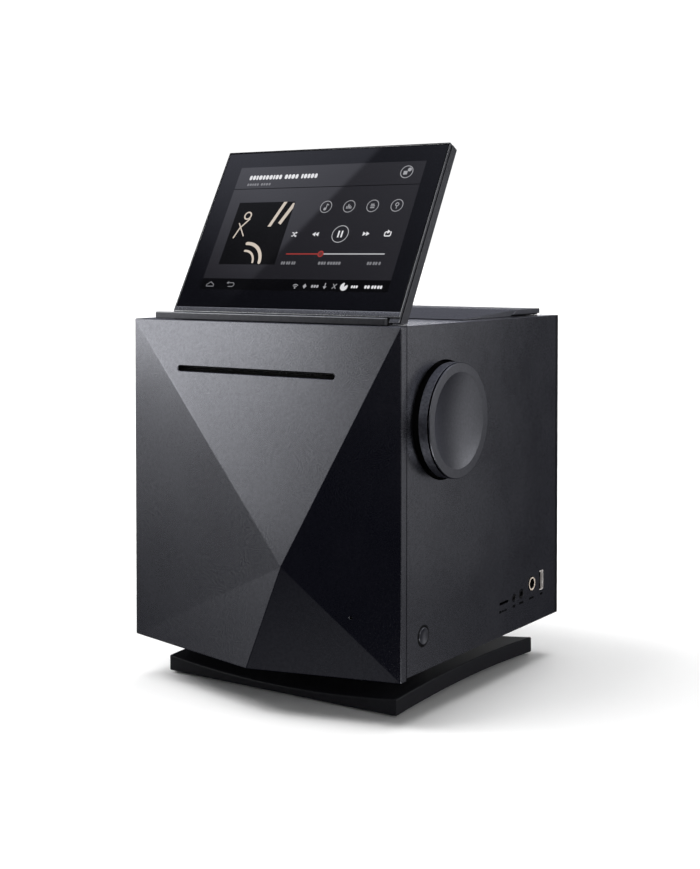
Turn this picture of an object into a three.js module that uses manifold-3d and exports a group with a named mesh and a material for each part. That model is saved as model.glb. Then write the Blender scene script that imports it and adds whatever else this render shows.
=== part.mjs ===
// Desktop digital audio player: a faceted aluminium cube on a low arched base,
// with a tilting touch display on top, a large volume knob and a slot-loading
// disc drive. Units are millimetres, +Z is up, the front faces -Y and the
// origin is on the ground under the middle of the bounding box.
import * as THREE from 'three';
import { mergeVertices } from 'three/addons/utils/BufferGeometryUtils.js';
import Module from 'manifold-3d';

const wasm = await Module();
wasm.setup();

// ---------------------------------------------------------------- dimensions
// Design frame: x = 0 is the middle of the body, y = 0 its front edge, z = 0 its top.
const ORIGIN = [5.25, 92.5, -235.5];      // row origin, written in the design frame
const HALF_W = 103.1;                     // body half width
const DEPTH = 203.4;                      // body depth
const HEIGHT = 207.9;                     // front panel height
const SIDE_H = 206.2;                     // side panel height
const WALL = 3.2;                         // side, bottom and rear panel thickness
const TOP_T = 4.0;                        // top plate thickness
const FRONT_T = 6.0;                      // front panel edge thickness
const GAP = 0.3;                          // assembly gap between panels
const APEX = [35.5, -26.5, -142.9];       // nose of the facets
const KEEL = [8.1, -25.1, -HEIGHT];       // foremost point of the bottom edge
const FRONT_SKIN = 4.0;                   // wall of the hollow front casting
const SLOT = { x0: -61.6, x1: 59.8, z: -30.4, h: 3.3 };      // disc slot
const LED = [75.1, -10.9, -170.8];        // status light on the right facet
const KNOB = { y: 49.2, z: -58.1, hole: 36.5, r: 35.1, neck: 32.6, dish: 29.3, out: 10.5 };
const POWER = { y: 24.9, z: -185.1, r: 5.2, ring: 6.3, travel: 1.2 };
const USB = { y: 178.9, z: -179.6, w: 5.4, h: 13.2 };
const JACK = { y: 164.8, z: -179.5, ring: 4.65, bore: 3.28 };
const JACK_S = { y: 150.0, z: -183.7, r: 2.9, bore: 1.8 };
const JACK_B = { y: 139.8, z: -184.4, r: 2.4, bore: 1.3 };
const CARD = { y0: 119.7, y1: 131.8, z: -184.8, h: 1.7 };
const RAIL = { x: 88.8, y0: 3.8, y1: 7.6, h: 4.75 };
const RAMP = { x: 88.8, y0: 96, y1: 166.0, h: 4.3 };
const TILT = 29.2 * Math.PI / 180;        // display lean at rest
const DISP = { w: 176.7, h: 123.4, y: 21.0, z: 4.47 };       // frame and its lower front edge
const HINGE = { w: 6.3, v: 3.3, pin: 1.5, bore: 1.85 };      // hinge axis, behind and above that edge
const LUG = { x0: 81.0, x1: 88.35 };
const BRACKET = { x0: 73.5, x1: 80.5, r: 3.4 };
const BASE = { x: 89.0, y0: 17.0, y1: 192.4, bottom: -234.0, top: -223.7, dip: 5.5, arch: 3.1 };
const FOOT = { r: 9, x: 74, y0: 32, y1: 177 };
const DISC = { x: -0.9, y: 88, z: -30.4 };  // spindle of the disc drive

const hingeY = DISP.y + HINGE.v * Math.sin(TILT) + HINGE.w * Math.cos(TILT);
const hingeZ = DISP.z + HINGE.v * Math.cos(TILT) - HINGE.w * Math.sin(TILT);

// ------------------------------------------------------------------ helpers
const paint = (color, roughness, metalness) => new THREE.MeshStandardMaterial({ color, roughness, metalness });
const ANODISED = () => paint(0x3a3b40, 0.45, 0.8);
const DARK = () => paint(0x17181b, 0.6, 0.2);
const BLACK = () => paint(0x0b0b0d, 0.5, 0.1);
const STEEL = () => paint(0x9a9da1, 0.35, 1.0);
const GOLD = () => paint(0xc59a45, 0.3, 1.0);
const BOARD = () => paint(0x1c3b2a, 0.6, 0.1);
const RUBBER = () => paint(0x151515, 0.9, 0.0);

function solid(geometry) {
  const g = geometry.clone();
  g.deleteAttribute('normal');
  g.deleteAttribute('uv');
  const m = mergeVertices(g, 1e-4);
  return new wasm.Manifold(new wasm.Mesh({
    numProp: 3,
    vertProperties: new Float32Array(m.attributes.position.array),
    triVerts: new Uint32Array(m.index.array),
  }));
}
function shape(man) {
  const mesh = man.getMesh();
  const g = new THREE.BufferGeometry();
  g.setAttribute('position', new THREE.BufferAttribute(new Float32Array(mesh.vertProperties), 3));
  g.setIndex(new THREE.BufferAttribute(new Uint32Array(mesh.triVerts), 1));
  g.computeVertexNormals();
  return g;
}
const box = (x0, x1, y0, y1, z0, z1) => {
  const g = new THREE.BoxGeometry(x1 - x0, y1 - y0, z1 - z0);
  g.translate((x0 + x1) / 2, (y0 + y1) / 2, (z0 + z1) / 2);
  return solid(g);
};
// cylinder along an axis, c = the two other coordinates of its centre line
function rod(axis, c, r, a, b, n = 24) {
  const g = new THREE.CylinderGeometry(r, r, b - a, n);
  if (axis === 'x') { g.rotateZ(-Math.PI / 2); g.translate((a + b) / 2, c[0], c[1]); }
  if (axis === 'y') { g.translate(c[0], (a + b) / 2, c[1]); }
  if (axis === 'z') { g.rotateX(Math.PI / 2); g.translate(c[0], c[1], (a + b) / 2); }
  return solid(g);
}
// turned piece: profile points are [radius, distance along the axis]
function turned(axis, c, profile, n = 32) {
  const g = new THREE.LatheGeometry(profile.map(p => new THREE.Vector2(p[0], p[1])), n);
  if (axis === 'x') { g.rotateZ(-Math.PI / 2); g.translate(0, c[0], c[1]); }
  if (axis === 'y') { g.translate(c[0], 0, c[1]); }
  if (axis === 'z') { g.rotateX(Math.PI / 2); g.translate(c[0], c[1], 0); }
  return solid(g);
}
// a polygon in the YZ plane swept along X
function slabX(points, x0, x1) {
  const s = new THREE.Shape(points.map(p => new THREE.Vector2(p[0], p[1])));
  const g = new THREE.ExtrudeGeometry(s, { depth: x1 - x0, bevelEnabled: false });
  g.applyMatrix4(new THREE.Matrix4().set(0, 0, 1, x0, 1, 0, 0, 0, 0, 1, 0, 0, 0, 0, 0, 1));
  return solid(g);
}
// closed polyhedron from points and faces
function hedron(points, faces) {
  const pos = [];
  for (const f of faces) for (let i = 1; i + 1 < f.length; i++)
    for (const k of [f[0], f[i], f[i + 1]]) pos.push(...points[k]);
  const g = new THREE.BufferGeometry();
  g.setAttribute('position', new THREE.Float32BufferAttribute(pos, 3));
  return solid(g);
}
// display frame coordinates: u across, v up the face, w back into the display
function tilted(man) {
  const s = Math.sin(TILT), c = Math.cos(TILT);
  const g = shape(man);
  g.applyMatrix4(new THREE.Matrix4().set(
    1, 0, 0, 0,
    0, c, s, DISP.y,
    0, -s, c, DISP.z,
    0, 0, 0, 1));
  return g;                                // (u, w, v) -> (x, y, z)
}

const player = new THREE.Group();
const model = new THREE.Group();
player.add(model);
model.position.set(-ORIGIN[0], -ORIGIN[1], -ORIGIN[2]);
function add(name, geometry, material) {
  const g = geometry.isBufferGeometry ? geometry : shape(geometry);
  const m = new THREE.Mesh(g, material);
  m.name = name;
  model.add(m);
}

// -------------------------------------------------------------- front panel
const A = [-HALF_W, 0, 0], B = [HALF_W, 0, 0], C = [-HALF_W, 0, -HEIGHT], D = [HALF_W, 0, -HEIGHT];
function faceted(back, off, grow) {
  // the five facets closed by a flat back
  const f = p => [p[0] * grow, p[1] + off, p[2]];
  const pts = [f(A), f(B), f(C), f(D), f(APEX), f(KEEL),
    [A[0] * grow, back, A[2]], [B[0] * grow, back, B[2]], [C[0] * grow, back, C[2]], [D[0] * grow, back, D[2]]];
  return hedron(pts, [
    [0, 4, 1], [0, 2, 4], [2, 5, 4], [4, 5, 3], [1, 4, 3],
    [0, 1, 7, 6], [0, 6, 8, 2], [1, 3, 9, 7], [2, 8, 9, 3, 5], [6, 7, 9, 8],
  ]);
}
let front = faceted(FRONT_T, 0, 1);
front = front.subtract(faceted(FRONT_T + 1, FRONT_SKIN, 1)
  .intersect(box(-HALF_W + 4, HALF_W - 4, -60, FRONT_T + 2, -HEIGHT + 3.5, -3.5)));
// long slot with round ends
const slotR = SLOT.h / 2;
const slotCut = (r, y0, y1) => box(SLOT.x0 + slotR, SLOT.x1 - slotR, y0, y1, SLOT.z - r, SLOT.z + r)
  .add(rod('y', [SLOT.x0 + slotR, SLOT.z], r, y0, y1, 16))
  .add(rod('y', [SLOT.x1 - slotR, SLOT.z], r, y0, y1, 16));
front = front.subtract(slotCut(slotR, -30, 20));
front = front.subtract(rod('y', [LED[0], LED[2]], 0.9, -30, 20, 12));
add('front_panel', front, ANODISED());
add('status_led', rod('y', [LED[0], LED[2]], 0.6, LED[1] + 0.8, LED[1] + 6, 12), DARK());

// felt lip behind the slot, split along its middle
const lip = box(SLOT.x0 - 4, SLOT.x1 + 4, 0.2, 2.0, SLOT.z - 6, SLOT.z + 6)
  .subtract(box(SLOT.x0 + 1, SLOT.x1 - 1, -1, 3, SLOT.z - 0.9, SLOT.z + 0.9));
add('disc_slot_seal', lip, BLACK());

// ------------------------------------------------------------------- panels
const yF = FRONT_T + GAP, yR = DEPTH - WALL - GAP;
add('left_side_panel', box(-HALF_W, -HALF_W + WALL, yF, yR, -SIDE_H, 0), ANODISED());
let right = box(HALF_W - WALL, HALF_W, yF, yR, -SIDE_H, 0);
right = right.subtract(rod('x', [KNOB.y, KNOB.z], KNOB.hole, 95, 110, 48));
right = right.subtract(rod('x', [POWER.y, POWER.z], POWER.ring + 0.3, 95, 110, 20));
right = right.subtract(box(95, 110, USB.y - USB.w / 2 - 0.3, USB.y + USB.w / 2 + 0.3, USB.z - USB.h / 2 - 0.3, USB.z + USB.h / 2 + 0.3));
right = right.subtract(rod('x', [JACK.y, JACK.z], JACK.ring + 0.3, 95, 110, 16));
right = right.subtract(rod('x', [JACK_S.y, JACK_S.z], JACK_S.r + 0.3, 95, 110, 12));
right = right.subtract(rod('x', [JACK_B.y, JACK_B.z], JACK_B.r + 0.3, 95, 110, 12));
right = right.subtract(box(95, 110, CARD.y0, CARD.y1, CARD.z - CARD.h / 2, CARD.z + CARD.h / 2));
add('right_side_panel', right, ANODISED());

const inX = HALF_W - WALL - GAP;
let top = box(-inX, inX, yF, yR, -TOP_T, 0);
for (const s of [-1, 1]) {
  const xa = s > 0 ? LUG.x0 - 0.5 : -LUG.x1 - 0.5, xb = s > 0 ? LUG.x1 + 0.5 : -LUG.x0 + 0.5;
  top = top.subtract(box(xa, xb, 20.2, 33.2, -2.6, 1));   // room for the turning lug
}
add('top_plate', top, ANODISED());
add('bottom_plate', box(-inX, inX, yF, yR, -SIDE_H, -SIDE_H + WALL), ANODISED());

// rear panel and the plate that carries the sockets
const yb = DEPTH - WALL;
const CP = { x: 84, z0: -186, z1: -146 };
add('rear_panel', box(-HALF_W, HALF_W, yb, DEPTH, -SIDE_H, 0)
  .subtract(box(-CP.x - GAP, CP.x + GAP, yb - 1, DEPTH + 1, CP.z0 - GAP, CP.z1 + GAP)), ANODISED());
const SX = { xlrA: -66, xlrB: -34, bnc: -4, net: 22, power: 58 };
const SZ = -166;
let plate = box(-CP.x, CP.x, yb + 0.2, DEPTH - 0.2, CP.z0, CP.z1);
for (const x of [SX.xlrA, SX.xlrB]) plate = plate.subtract(box(x - 10, x + 10, yb - 1, DEPTH + 1, SZ - 10, SZ + 10));
plate = plate.subtract(box(SX.bnc - 6, SX.bnc + 6, yb - 1, DEPTH + 1, SZ - 6, SZ + 6));
plate = plate.subtract(box(SX.net - 8.3, SX.net + 8.3, yb - 1, DEPTH + 1, SZ - 7.1, SZ + 7.1));
plate = plate.subtract(box(SX.power - 14, SX.power + 14, yb - 1, DEPTH + 1, SZ - 10.3, SZ + 10.3));
add('connector_plate', plate, DARK());

// male three-pin sockets: square flange and open cup
for (const [n, x] of [['xlr_output_left', SX.xlrB], ['xlr_output_right', SX.xlrA]]) {
  let cup = box(x - 13, x + 13, DEPTH + 0.1, DEPTH + 1.7, SZ - 15, SZ + 15)
    .add(rod('y', [x, SZ], 9.6, DEPTH - 16, DEPTH + 1.7, 24));
  cup = cup.subtract(rod('y', [x, SZ], 7.8, DEPTH - 13, DEPTH + 3, 24));
  for (const [px, pz] of [[-5, 0], [5, 0], [0, -5.4]])
    cup = cup.add(rod('y', [x + px, SZ + pz], 1.2, DEPTH - 14, DEPTH - 2, 8));
  add(n, cup, DARK());
}
// coaxial clock / digital socket
let bnc = rod('y', [SX.bnc, SZ], 5.6, DEPTH - 10, DEPTH + 1.5, 16).add(rod('y', [SX.bnc, SZ], 4.8, DEPTH + 1, DEPTH + 8.1, 16));
bnc = bnc.subtract(rod('y', [SX.bnc, SZ], 4.0, DEPTH - 3, DEPTH + 9, 16)).add(rod('y', [SX.bnc, SZ], 1.0, DEPTH - 4, DEPTH + 6.5, 8));
add('digital_coax_socket', bnc, STEEL());
// network socket
let net = box(SX.net - 8, SX.net + 8, DEPTH - 20, DEPTH + 0.4, SZ - 6.8, SZ + 6.8);
net = net.subtract(box(SX.net - 5.9, SX.net + 5.9, DEPTH - 14, DEPTH + 1, SZ - 4.2, SZ + 4.4))
  .subtract(box(SX.net - 3, SX.net + 3, DEPTH - 14, DEPTH + 1, SZ - 6.0, SZ - 4.1));
add('network_socket', net, STEEL());
// mains inlet, three blades in an open well
let inlet = box(SX.power - 17.5, SX.power + 17.5, DEPTH + 0.1, DEPTH + 2.4, SZ - 13, SZ + 13)
  .add(box(SX.power - 13.6, SX.power + 13.6, DEPTH - 22, DEPTH + 2.4, SZ - 10, SZ + 10));
inlet = inlet.subtract(box(SX.power - 12, SX.power + 12, DEPTH - 17, DEPTH + 4, SZ - 8.2, SZ + 8.2));
for (const [px, pz] of [[-7, -1.8], [7, -1.8], [0, 2.4]])
  inlet = inlet.add(box(SX.power + px - 1, SX.power + px + 1, DEPTH - 18, DEPTH - 2, SZ + pz - 2, SZ + pz + 2));
add('power_inlet', inlet, DARK());

// --------------------------------------------------------------- top deck
add('deck_front_rail', box(-RAIL.x, RAIL.x, RAIL.y0, RAIL.y1, GAP, RAIL.h), ANODISED());
add('deck_ramp', slabX([[RAMP.y0, 0.15], [RAMP.y1 - 5.5, 0.15], [RAMP.y1 + 2.0, RAMP.h + 0.1], [RAMP.y0, 0.45]], -RAMP.x, RAMP.x), ANODISED());
// the rear cover stands on a smaller plinth and leaves a shadow gap under its edges
let rearDeck = slabX([[RAMP.y1 - 3.2, 1.0], [DEPTH, 1.0], [DEPTH, 4.4], [RAMP.y1 + 2.8, 4.4]], -RAMP.x, RAMP.x)
  .add(box(-RAMP.x + 1.4, RAMP.x - 1.4, RAMP.y1 - 2.4, DEPTH - 0.6, 0.2, 1.2));
add('deck_rear_cover', rearDeck, ANODISED());

// ------------------------------------------------------------ display hinge
for (const [side, s] of [['left', -1], ['right', 1]]) {
  const xa = s > 0 ? BRACKET.x0 : -BRACKET.x1, xb = s > 0 ? BRACKET.x1 : -BRACKET.x0;
  let br = rod('x', [hingeY, hingeZ], BRACKET.r, xa, xb, 20)
    .add(box(xa, xb, hingeY - BRACKET.r, hingeY + BRACKET.r, 0.15, hingeZ))
    .subtract(rod('x', [hingeY, hingeZ], HINGE.bore, xa - 1, xb + 1, 16));
  add('hinge_bracket_' + side, br, DARK());
  const pa = s > 0 ? 74.2 : -86.6, pb = s > 0 ? 86.6 : -74.2;
  add('hinge_pin_' + side, rod('x', [hingeY, hingeZ], HINGE.pin, pa, pb, 16), STEEL());
}

// ------------------------------------------------------------------ display
// built in (u, w, v) with u across, w back and v up, then leaned back
const hw = DISP.w / 2;
let frame = box(-hw, hw, 0, 2.4, 0, DISP.h)
  .subtract(box(-hw + 1.0, hw - 1.0, -1, 3, 3.9, DISP.h - 1.0));
for (const s of [-1, 1]) {
  const xa = s > 0 ? LUG.x0 : -LUG.x1, xb = s > 0 ? LUG.x1 : -LUG.x0;
  frame = frame.add(box(xa, xb, 1.2, 2.4, -3.2, 0.5));
}
add('display_frame', tilted(frame), ANODISED());
add('display_glass', tilted(box(-hw + 1.2, hw - 1.2, 0.35, 1.4, 4.2, DISP.h - 1.25)), paint(0x050506, 0.05, 0.0));
add('lcd_module', tilted(box(-78.5, 78.5, 1.75, 4.5, 13.0, 115.0)), DARK());
add('display_board', tilted(box(-60, 40, 4.8, 5.6, 22, 84)), BOARD());

// rear cover: wedge with a thicker foot that carries the hinge
const yzPoly = pts => pts;                 // [w, v] pairs
let cover = slabX(yzPoly([[3.0, 9.0], [10.0, 9.0], [10.0, 13.0], [9.7, 14.6], [9.0, DISP.h], [3.0, DISP.h]]), -hw, hw)
  .add(slabX(yzPoly([[3.0, 9.2], [3.0, 1.0], [3.6, 0.6], [4.8, -0.2], [6.3, -0.5], [7.8, -0.1], [9.0, 1.1], [9.9, 3.2], [10.0, 4.2], [10.0, 9.2]]), -hw, hw));
for (const s of [-1, 1]) {
  const xa = s > 0 ? BRACKET.x0 - 0.5 : -LUG.x0, xb = s > 0 ? LUG.x0 : -BRACKET.x0 + 0.5;
  const la = s > 0 ? LUG.x0 : -LUG.x1, lb = s > 0 ? LUG.x1 : -LUG.x0;
  cover = cover.subtract(box(xa, xb, 2.0, 12, -6, HINGE.v + 4.2));      // notch around the fixed bracket
  cover = cover.add(slabX([[3.0, 9.2], [3.0, -2.9], [10.0, 1.0], [10.0, 9.2]], la, lb));
}
cover = cover.subtract(box(-hw + 2.6, hw - 2.6, 2.0, 5.9, 10.5, DISP.h - 2.4));
const groove = box(-hw + 1.0, hw - 1.0, 2.65, 3.2, 9.2, DISP.h - 1.0).subtract(box(-hw + 2.6, hw - 2.6, 2, 4, 8, DISP.h - 2.4));
cover = cover.add(groove);
for (const s of [-1, 1]) {
  const xa = s > 0 ? LUG.x0 - 1 : -86.9, xb = s > 0 ? 86.9 : -LUG.x0 + 1;
  cover = cover.subtract(rod('x', [HINGE.w, HINGE.v], HINGE.bore, xa, xb, 16));
}
add('display_rear_cover', tilted(cover), ANODISED());

// -------------------------------------------------------------- volume knob
const xs = HALF_W;
add('knob_recess_ring', turned('x', [KNOB.y, KNOB.z], [[12.3, xs - 6], [36.2, xs - 6], [36.2, xs - 4.2], [12.3, xs - 4.2], [12.3, xs - 6]], 36), BLACK());
add('volume_knob_body', turned('x', [KNOB.y, KNOB.z], [
  [3.3, xs - 3.6], [KNOB.neck, xs - 3.6], [KNOB.neck, xs + 2.8], [KNOB.r, xs + 2.8], [KNOB.r, xs + 8.6],
  [KNOB.r - 1.2, xs + 8.6], [KNOB.r - 1.2, xs + 5.5], [3.3, xs + 5.5], [3.3, xs - 3.6]], 48), ANODISED());
add('volume_knob_cap', turned('x', [KNOB.y, KNOB.z], [
  [0, xs + 5.9], [KNOB.r - 1.6, xs + 5.9], [KNOB.r - 1.6, xs + 9.75], [KNOB.r, xs + 9.75], [KNOB.r, xs + 10.15], [KNOB.r - 0.4, xs + 10.5],
  [KNOB.dish, xs + 10.5], [25.8, xs + 9.7], [20.5, xs + 8.75], [13.5, xs + 7.8], [6.8, xs + 7.32], [0, xs + 7.2]], 48), ANODISED());
add('volume_knob_shaft', rod('x', [KNOB.y, KNOB.z], 3.0, xs - 22, xs + 5.2, 16), STEEL());
add('volume_encoder', box(xs - 26, xs - 12, KNOB.y - 8, KNOB.y + 8, KNOB.z - 8, KNOB.z + 8)
  .add(rod('x', [KNOB.y, KNOB.z], 5.5, xs - 13, xs - 6.3, 16))
  .subtract(rod('x', [KNOB.y, KNOB.z], 3.3, xs - 23, xs, 16)), STEEL());

// ------------------------------------------------------------- power button
add('power_button_ring', turned('x', [POWER.y, POWER.z], [
  [POWER.r + 0.35, xs - 3.0], [POWER.ring, xs - 3.0], [POWER.ring, xs + 0.15], [POWER.r + 0.35, xs + 0.15], [POWER.r + 0.35, xs - 3.0]], 24), BLACK());
add('power_button', turned('x', [POWER.y, POWER.z], [
  [0, xs - 5.5], [POWER.r, xs - 5.5], [POWER.r, xs + 0.3], [POWER.r - 0.5, xs + 0.5], [3.4, xs + 0.1], [1.6, xs - 0.15], [0, xs - 0.2]], 24), ANODISED());
add('power_switch', box(xs - 16, xs - 10, POWER.y - 5, POWER.y + 5, POWER.z - 5, POWER.z + 5)
  .add(rod('x', [POWER.y, POWER.z], 1.7, xs - 11, xs - 7.2, 12)), BLACK());

// ------------------------------------------------------------ side sockets
let usb = box(xs - 15, xs + 0.1, USB.y - USB.w / 2, USB.y + USB.w / 2, USB.z - USB.h / 2, USB.z + USB.h / 2)
  .subtract(box(xs - 14, xs + 1, USB.y - USB.w / 2 + 0.35, USB.y + USB.w / 2 - 0.35, USB.z - USB.h / 2 + 0.35, USB.z + USB.h / 2 - 0.35));
add('usb_socket_shell', usb, STEEL());
add('usb_socket_tongue', box(xs - 13.7, xs - 0.9, USB.y - 1.95, USB.y - 0.1, USB.z - 5.7, USB.z + 5.7), BLACK());

add('headphone_socket', box(xs - 36, xs - 4.0, JACK.y - 6.2, JACK.y + 6.2, JACK.z - 6.2, JACK.z + 6.2)
  .subtract(rod('x', [JACK.y, JACK.z], JACK.bore, xs - 33, xs, 12)), BLACK());
add('headphone_socket_ring', turned('x', [JACK.y, JACK.z], [
  [JACK.bore + 0.05, xs - 3.7], [JACK.ring, xs - 3.7], [JACK.ring, xs + 0.2], [JACK.ring - 0.4, xs + 0.5], [JACK.bore + 0.35, xs + 0.5], [JACK.bore + 0.05, xs + 0.2], [JACK.bore + 0.05, xs - 3.7]], 24), GOLD());
for (const [n, j] of [['small_headphone_socket', JACK_S], ['balanced_headphone_socket', JACK_B]]) {
  add(n, rod('x', [j.y, j.z], j.r, xs - 16, xs + 0.1, 16)
    .subtract(rod('x', [j.y, j.z], j.bore, xs - 14.5, xs + 1, 12)), BLACK());
}
add('card_reader', box(xs - 19, xs - 3.6, CARD.y0 - 1.2, CARD.y1 + 1.2, CARD.z - 1.7, CARD.z + 1.7)
  .subtract(box(xs - 17, xs, CARD.y0 + 0.4, CARD.y1 - 0.4, CARD.z - 0.55, CARD.z + 0.55)), STEEL());
add('socket_board', box(xs - 40, xs - 5, 112, 188, -192.6, -191.0), BOARD());

// ---------------------------------------------------------------- electronics
add('main_board', box(-86, 40, 30, 186, -120, -118.2), BOARD());
add('analogue_board', box(-86, 40, 40, 182, -150, -148.2), BOARD());
add('power_supply', box(-92, 0, 110, 182, -200, -168)
  .subtract(box(-88, -4, 114, 178, -196, -160)), STEEL());
add('battery_pack', box(-92, -4, 24, 100, -200, -168), BLACK());
add('storage_drive', box(6, 76, 24, 124, -200, -193), STEEL());

// -------------------------------------------------------------- disc drive
const dx = DISC.x, dz = DISC.z;
add('drive_chassis', box(dx - 64, dx + 64, 10, 142, dz - 10, dz + 6)
  .subtract(box(dx - 62, dx + 62, 8, 140, dz - 8.6, dz + 8)), STEEL());
add('drive_cover', box(dx - 64, dx + 64, 10, 142, dz + 6.3, dz + 7.5), STEEL());
add('disc_spindle', turned('z', [dx, DISC.y], [
  [0, dz - 5.6], [11, dz - 5.6], [11, dz - 4.4], [13, dz - 4.4], [13, dz - 2.2], [7.4, dz - 2.2], [7.4, dz - 0.4], [5.5, dz + 1.2], [0, dz + 1.2]], 24), BLACK());
add('feed_roller', rod('x', [14.5, dz - 4.2], 2.6, dx - 58, dx + 58, 16), RUBBER());
add('laser_sled', box(dx - 13, dx + 9, 40, 62, dz - 6.6, dz - 3.4)
  .add(rod('z', [dx, 51], 2.6, dz - 3.5, dz - 2.4, 16))
  .subtract(rod('y', [dx - 9, dz - 5.0], 1.3, 30, 70, 12)), BLACK());
add('sled_rail', rod('y', [dx - 9, dz - 5.0], 1.0, 19.5, 77, 12), STEEL());
add('sled_lead_screw', rod('y', [dx + 12, dz - 5.0], 1.5, 19.5, 80, 12)
  .add(rod('y', [dx + 12, dz - 5.0], 2.4, 19.5, 24, 12)), STEEL());

// --------------------------------------------------------------------- base
function basePlate() {
  const nx = 12, ny = 12, top = [], bot = [];
  const my = (BASE.y0 + BASE.y1) / 2, hy = (BASE.y1 - BASE.y0) / 2;
  for (let j = 0; j <= ny; j++) for (let i = 0; i <= nx; i++) {
    const s = -1 + 2 * i / nx, t = -1 + 2 * j / ny;
    const lift = BASE.arch * (1 - t * t) * s * s;
    const x = BASE.x * s, y = my + hy * t;
    top.push([x, y, BASE.top - BASE.dip * (1 - s * s) + lift]);
    bot.push([x, y, BASE.bottom + lift]);
  }
  const id = (i, j) => j * (nx + 1) + i, pos = [];
  const quad = (a, b, c, d) => pos.push(...a, ...b, ...c, ...a, ...c, ...d);
  for (let j = 0; j < ny; j++) for (let i = 0; i < nx; i++) {
    quad(top[id(i, j)], top[id(i + 1, j)], top[id(i + 1, j + 1)], top[id(i, j + 1)]);
    quad(bot[id(i, j)], bot[id(i, j + 1)], bot[id(i + 1, j + 1)], bot[id(i + 1, j)]);
  }
  for (let i = 0; i < nx; i++) {
    quad(bot[id(i, 0)], bot[id(i + 1, 0)], top[id(i + 1, 0)], top[id(i, 0)]);
    quad(bot[id(i + 1, ny)], bot[id(i, ny)], top[id(i, ny)], top[id(i + 1, ny)]);
  }
  for (let j = 0; j < ny; j++) {
    quad(bot[id(0, j + 1)], bot[id(0, j)], top[id(0, j)], top[id(0, j + 1)]);
    quad(bot[id(nx, j)], bot[id(nx, j + 1)], top[id(nx, j + 1)], top[id(nx, j)]);
  }
  const g = new THREE.BufferGeometry();
  g.setAttribute('position', new THREE.Float32BufferAttribute(pos, 3));
  return solid(g);
}
add('base_plate', basePlate(), ANODISED());
const neckTop = -SIDE_H - GAP;
const nyc = (BASE.y0 + BASE.y1) / 2;
add('base_neck', turned('z', [0, nyc], [[0, -222.6], [46, -222.6], [44, -214], [50, neckTop], [0, neckTop]], 32), BLACK());
let k = 1;
for (const y of [FOOT.y0, FOOT.y1]) for (const x of [-FOOT.x, FOOT.x])
  add('foot_' + (k++), rod('z', [x, y], FOOT.r, ORIGIN[2], BASE.bottom - 0.15, 20), RUBBER());

export default player;
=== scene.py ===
import bpy, bmesh, math
from mathutils import Vector, Matrix
from mathutils.geometry import tessellate_polygon


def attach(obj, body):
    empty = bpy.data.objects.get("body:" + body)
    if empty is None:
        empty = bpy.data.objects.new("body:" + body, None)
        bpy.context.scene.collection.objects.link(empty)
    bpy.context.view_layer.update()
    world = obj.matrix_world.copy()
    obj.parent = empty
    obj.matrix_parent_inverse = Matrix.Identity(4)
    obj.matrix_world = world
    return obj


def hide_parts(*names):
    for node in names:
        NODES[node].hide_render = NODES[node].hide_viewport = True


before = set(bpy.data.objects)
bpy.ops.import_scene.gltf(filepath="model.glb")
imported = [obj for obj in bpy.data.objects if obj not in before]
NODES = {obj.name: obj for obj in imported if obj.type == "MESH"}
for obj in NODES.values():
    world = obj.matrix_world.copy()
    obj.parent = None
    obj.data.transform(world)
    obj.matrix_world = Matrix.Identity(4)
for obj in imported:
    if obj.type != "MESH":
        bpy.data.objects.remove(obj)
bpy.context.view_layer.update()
scene = bpy.context.scene
for m in list(bpy.data.materials):
    m.name = "cad_" + m.name

# ---------------------------------------------------------------- dimensions
# millimetres in the design frame: x 0 is the body's middle, y 0 its front edge, z 0 its top
ORIGIN = (5.25, 92.5, -235.5)
HALF_W, DEPTH, HEIGHT, SIDE_H, WALL = 103.1, 203.4, 207.9, 206.2, 3.2
TOP_T, FRONT_T, GAP, SKIN = 4.0, 6.0, 0.3, 4.0
APEX, KEEL = (35.5, -26.5, -142.9), (8.1, -25.1, -HEIGHT)
SLOT = (-61.6, 59.8, -30.4, 3.3)
LED = (75.1, -10.9, -170.8)
KNOB_Y, KNOB_Z, KNOB_HOLE, KNOB_R, KNOB_NECK, KNOB_DISH = 49.2, -58.1, 36.5, 35.1, 32.6, 29.3
POWER_Y, POWER_Z, POWER_R, POWER_RING = 24.9, -185.1, 5.2, 6.3
USB_Y, USB_Z, USB_W, USB_H = 178.9, -179.6, 5.4, 13.2
JACK_Y, JACK_Z, JACK_RING, JACK_BORE = 164.8, -179.5, 4.65, 3.28
SMALL = (150.0, -183.7, 2.9, 1.8)
BALANCED = (139.8, -184.4, 2.4, 1.3)
CARD = (119.7, 131.8, -184.8, 1.7)
TILT = math.radians(29.2)
DISP_W, DISP_H, DISP_Y, DISP_Z = 176.7, 123.4, 21.0, 4.47
HINGE_W, HINGE_V, PIN_R = 6.3, 3.3, 1.5
BASE_X, BASE_Y0, BASE_Y1, BASE_BOT, BASE_TOP, BASE_DIP, BASE_ARCH = 89.0, 17.0, 192.4, -234.0, -223.7, 5.5, 3.1
FOOT_R, FOOT_X, FOOT_Y = 9.0, 74.0, (32.0, 177.0)
XS = HALF_W


def W(x, y, z):
    """design millimetres to row metres"""
    return Vector(((x - ORIGIN[0]) * 1e-3, (y - ORIGIN[1]) * 1e-3, (z - ORIGIN[2]) * 1e-3))


def D(u, w, v):
    """display millimetres (across, back, up the face) to row metres"""
    s, c = math.sin(TILT), math.cos(TILT)
    return W(u, c * w + s * v + DISP_Y, -s * w + c * v + DISP_Z)


HINGE_Y = DISP_Y + HINGE_V * math.sin(TILT) + HINGE_W * math.cos(TILT)
HINGE_Z = DISP_Z + HINGE_V * math.cos(TILT) - HINGE_W * math.sin(TILT)


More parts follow.
